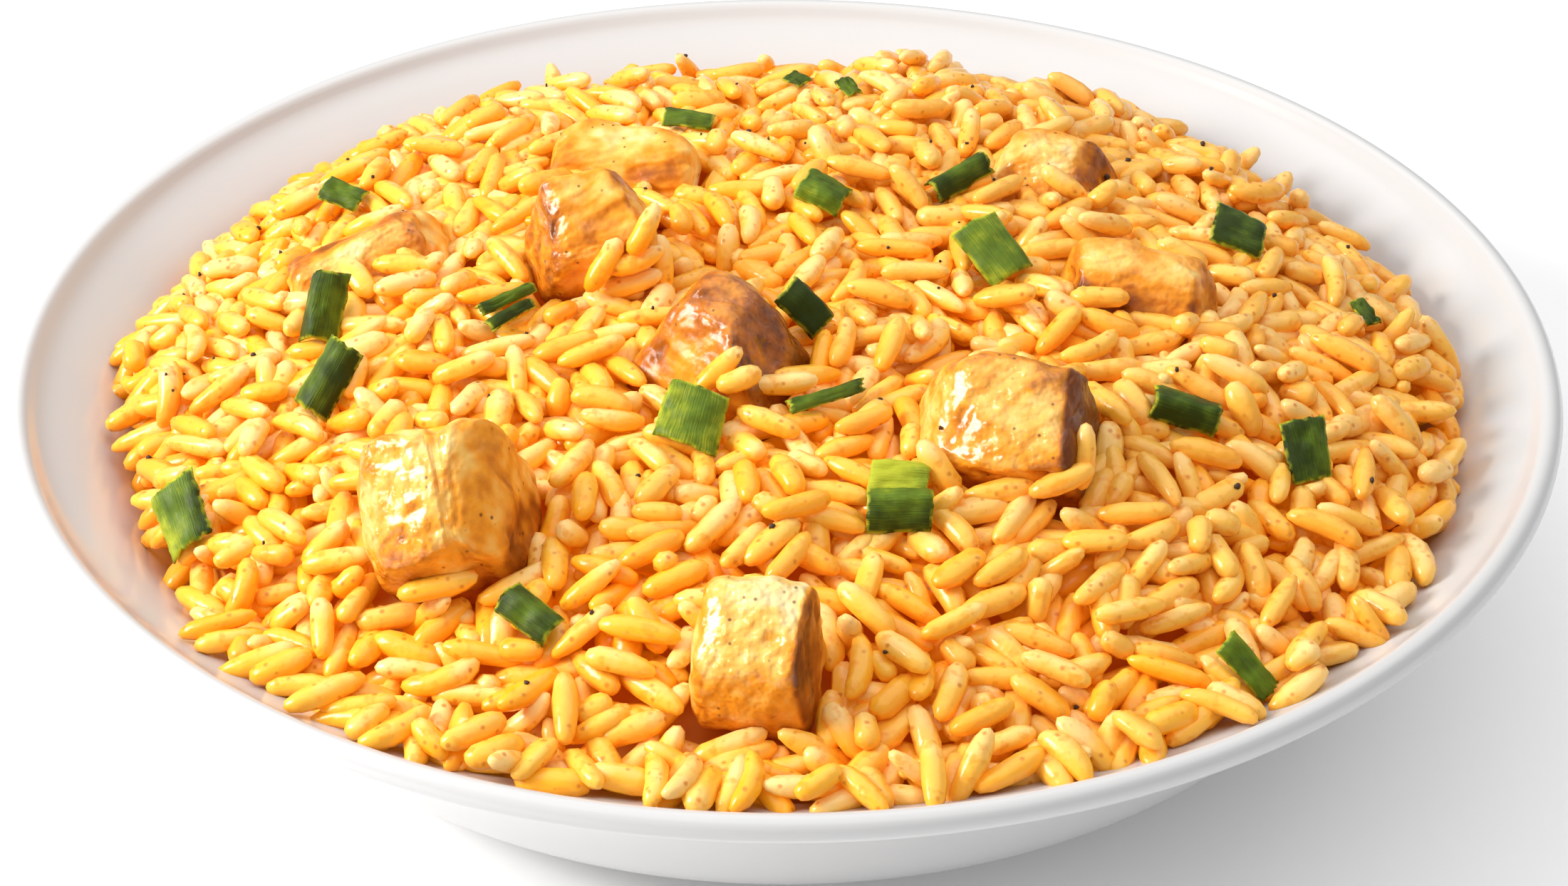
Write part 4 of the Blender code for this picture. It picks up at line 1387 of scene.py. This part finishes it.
        # Painted shade: grains are painted a duller, paler tan towards the right, away from the
        # light at the left, with broad patches.
        right_shade = smoothstep(-60.0, 90.0, x + 0.25 * y) * 0.46 + 0.18 * noise(place / 16.0, 81)
        beige_and_right_shade = np.clip(right_shade + chance.normal(0.0, 0.10, (count, 1)), 0.0, 1.0) + 0 * along
        return repeated(points, quads, tris, {"tone_and_top_light": tone_and_top_light, "sunk": sunk, "beige_and_right_shade": beige_and_right_shade})

    def build(self, chunks: list[Surface], strips: list[Surface]) -> Pile:
        """Lay the grains round the chicken and under the onion, and make a piece of each kind."""
        # Painted shade: the core takes the darker orange of sunk grains, for the gaps where it
        # shows.
        core_finish = PlainFinish((0.80, 0.25, 0.010, 1.0), (0.92, 0.36, 0.02, 1.0), 0.5, 500.0)
        core = self.core().as_object("rice_core", core_finish.make("rice_core"), "rice")
        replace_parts(core, "rice_heap")
        pile = Pile(self.heap, self.plate)
        pile.prepare(chunks, strips)
        laid = pile.lay()
        finish = RiceFinish().make("rice")
        chance = np.random.default_rng(SEED + 7)
        leaning = self.lean()
        kinds = [GrainKind.FULL if k % 3 == 1 else GrainKind.LONG for k in range(len(leaning))]
        kinds = laid.kinds + kinds
        rows = np.array(laid.rows + leaning)
        for kind in GrainKind:
            mine = rows[np.array([k is kind for k in kinds])]
            surface = self.grains(mine, kind, pile, chance)
            made = surface.as_object(f"rice_{kind.value}_grains", finish, "rice")
            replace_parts(made, "rice_heap")
            LOG.info("%s grains: %d", kind.value, len(mine))
        return pile


# Pepper


@dataclass
class Pepper:
    """Coarse specks of pepper lying on the rice and the chicken."""

    count: int = 95
    size: tuple = (0.22, 0.46)

    def build(self, pile: Pile) -> bpy.types.Object:
        """Scatter the specks over the pile: each a ball of 5 by 4 faces with jittered points."""
        chance = np.random.default_rng(SEED + 9)
        angle, share = chance.uniform(0, 2 * np.pi, self.count), np.sqrt(chance.random(self.count))
        radius = (pile.heap.edge(angle) - 4.0) * share
        x, y = radius * np.cos(angle), radius * np.sin(angle)
        cells = pile.cell_of(x, y)
        z = np.where(pile.owner[cells] >= 0, pile.top[cells], pile.floor[cells])
        sides = 5
        t, a = np.pi * np.arange(1, 4)[:, None] / 4, 2 * np.pi * np.arange(sides) / sides
        ring = np.stack([np.sin(t) * np.cos(a), np.sin(t) * np.sin(a), np.cos(t) + 0 * a], -1)
        unit = np.vstack([ring.reshape(-1, 3), [[0, 0, 1]], [[0, 0, -1]]])
        size = chance.uniform(*self.size, (self.count, 1, 1))
        size = size * chance.uniform(0.6, 1.3, (self.count, 1, 3))
        points = unit * size * chance.uniform(0.75, 1.2, (self.count, len(unit), 1))
        points = points + np.stack([x, y, z + 0.05], -1)[:, None, :]
        caps = fan_faces(3 * sides, 0, sides), fan_faces(3 * sides + 1, 2 * sides, sides, True)
        surface = repeated(points, ring_faces(3, sides), np.vstack(caps), {})
        finish = PlainFinish((0.012, 0.007, 0.004, 1.0), (0.09, 0.035, 0.012, 1.0), 0.6, 900.0)
        return surface.as_object("pepper_specks", finish.make("pepper"), "rice")


# Studio


@dataclass
class Studio:
    """Plain pale floor, soft light from the left and above, and the camera."""

    camera_place: tuple = (0.0, -0.4087, 0.2917)
    camera_pitch: float = 56.63
    lens: float = 76.6
    aim: tuple = (0.0, 0.0, 0.045)
    world_strength: float = 0.42
    floor_half: float = 6.0
    floor_finish: PlainFinish = PlainFinish(
        (0.94, 0.94, 0.94, 1.0), (0.95, 0.95, 0.95, 1.0), roughness=0.9, scale=3.0, glow=0.10)

    def area(self, name: str, place: tuple, size: float, power: float, colour: tuple) -> None:
        """Add a square soft light at a place, facing the food."""
        light = bpy.data.lights.new(name, "AREA")
        light.size = size
        light.energy = power
        light.color = colour
        made = bpy.data.objects.new(name, light)
        bpy.context.scene.collection.objects.link(made)
        made.location = place
        made.rotation_euler = (Vector(self.aim) - Vector(place)).to_track_quat("-Z", "Y").to_euler()

    def floor(self) -> bpy.types.Object:
        """Lay a wide square floor under the foot."""
        mesh = bpy.data.meshes.new("floor")
        half = self.floor_half
        corners = [(-half, -half, 0), (half, -half, 0), (half, half, 0), (-half, half, 0)]
        mesh.from_pydata(corners, [], [(0, 1, 2, 3)])
        mesh.materials.append(self.floor_finish.make("floor"))
        made = bpy.data.objects.new("floor", mesh)
        bpy.context.scene.collection.objects.link(made)
        return made

    def build(self) -> None:
        """Set up the floor, the lights and the camera."""
        self.floor()
        scene = bpy.context.scene
        world = bpy.data.worlds.new("studio")
        scene.world = world
        world.use_nodes = True
        sky = world.node_tree.nodes["Background"].inputs
        sky["Color"].default_value = (1.0, 1.0, 1.0, 1.0)
        sky["Strength"].default_value = self.world_strength
        self.area("key", (-0.62, -0.10, 0.42), 0.30, 6.6, (1.0, 0.98, 0.95))
        self.area("top", (0.05, 0.15, 0.95), 1.5, 7.6, (1.0, 1.0, 1.0))
        camera = bpy.data.cameras.new("camera")
        camera.lens = self.lens
        camera.sensor_width = 36.0
        camera.clip_start = 0.01
        made = bpy.data.objects.new("camera", camera)
        scene.collection.objects.link(made)
        made.location = self.camera_place
        made.rotation_euler = (math.radians(self.camera_pitch), 0.0, 0.0)
        scene.camera = made
        scene.view_settings.view_transform = "Standard"


def main() -> None:
    """Build every class in order."""
    logging.basicConfig(level=logging.INFO, format="%(name)s: %(message)s")
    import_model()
    plate = Plate()
    plate.build()
    LOG.info("plate made")
    chunks = Chicken().build()
    LOG.info("chicken chunks made: %d", len(chunks))
    strips = GreenOnion().build()
    LOG.info("green onion pieces made: %d", len(strips))
    pile = Rice().build(chunks, strips)
    Pepper().build(pile)
    LOG.info("pepper made")
    Studio().build()


if __name__ == "__main__":
    main()
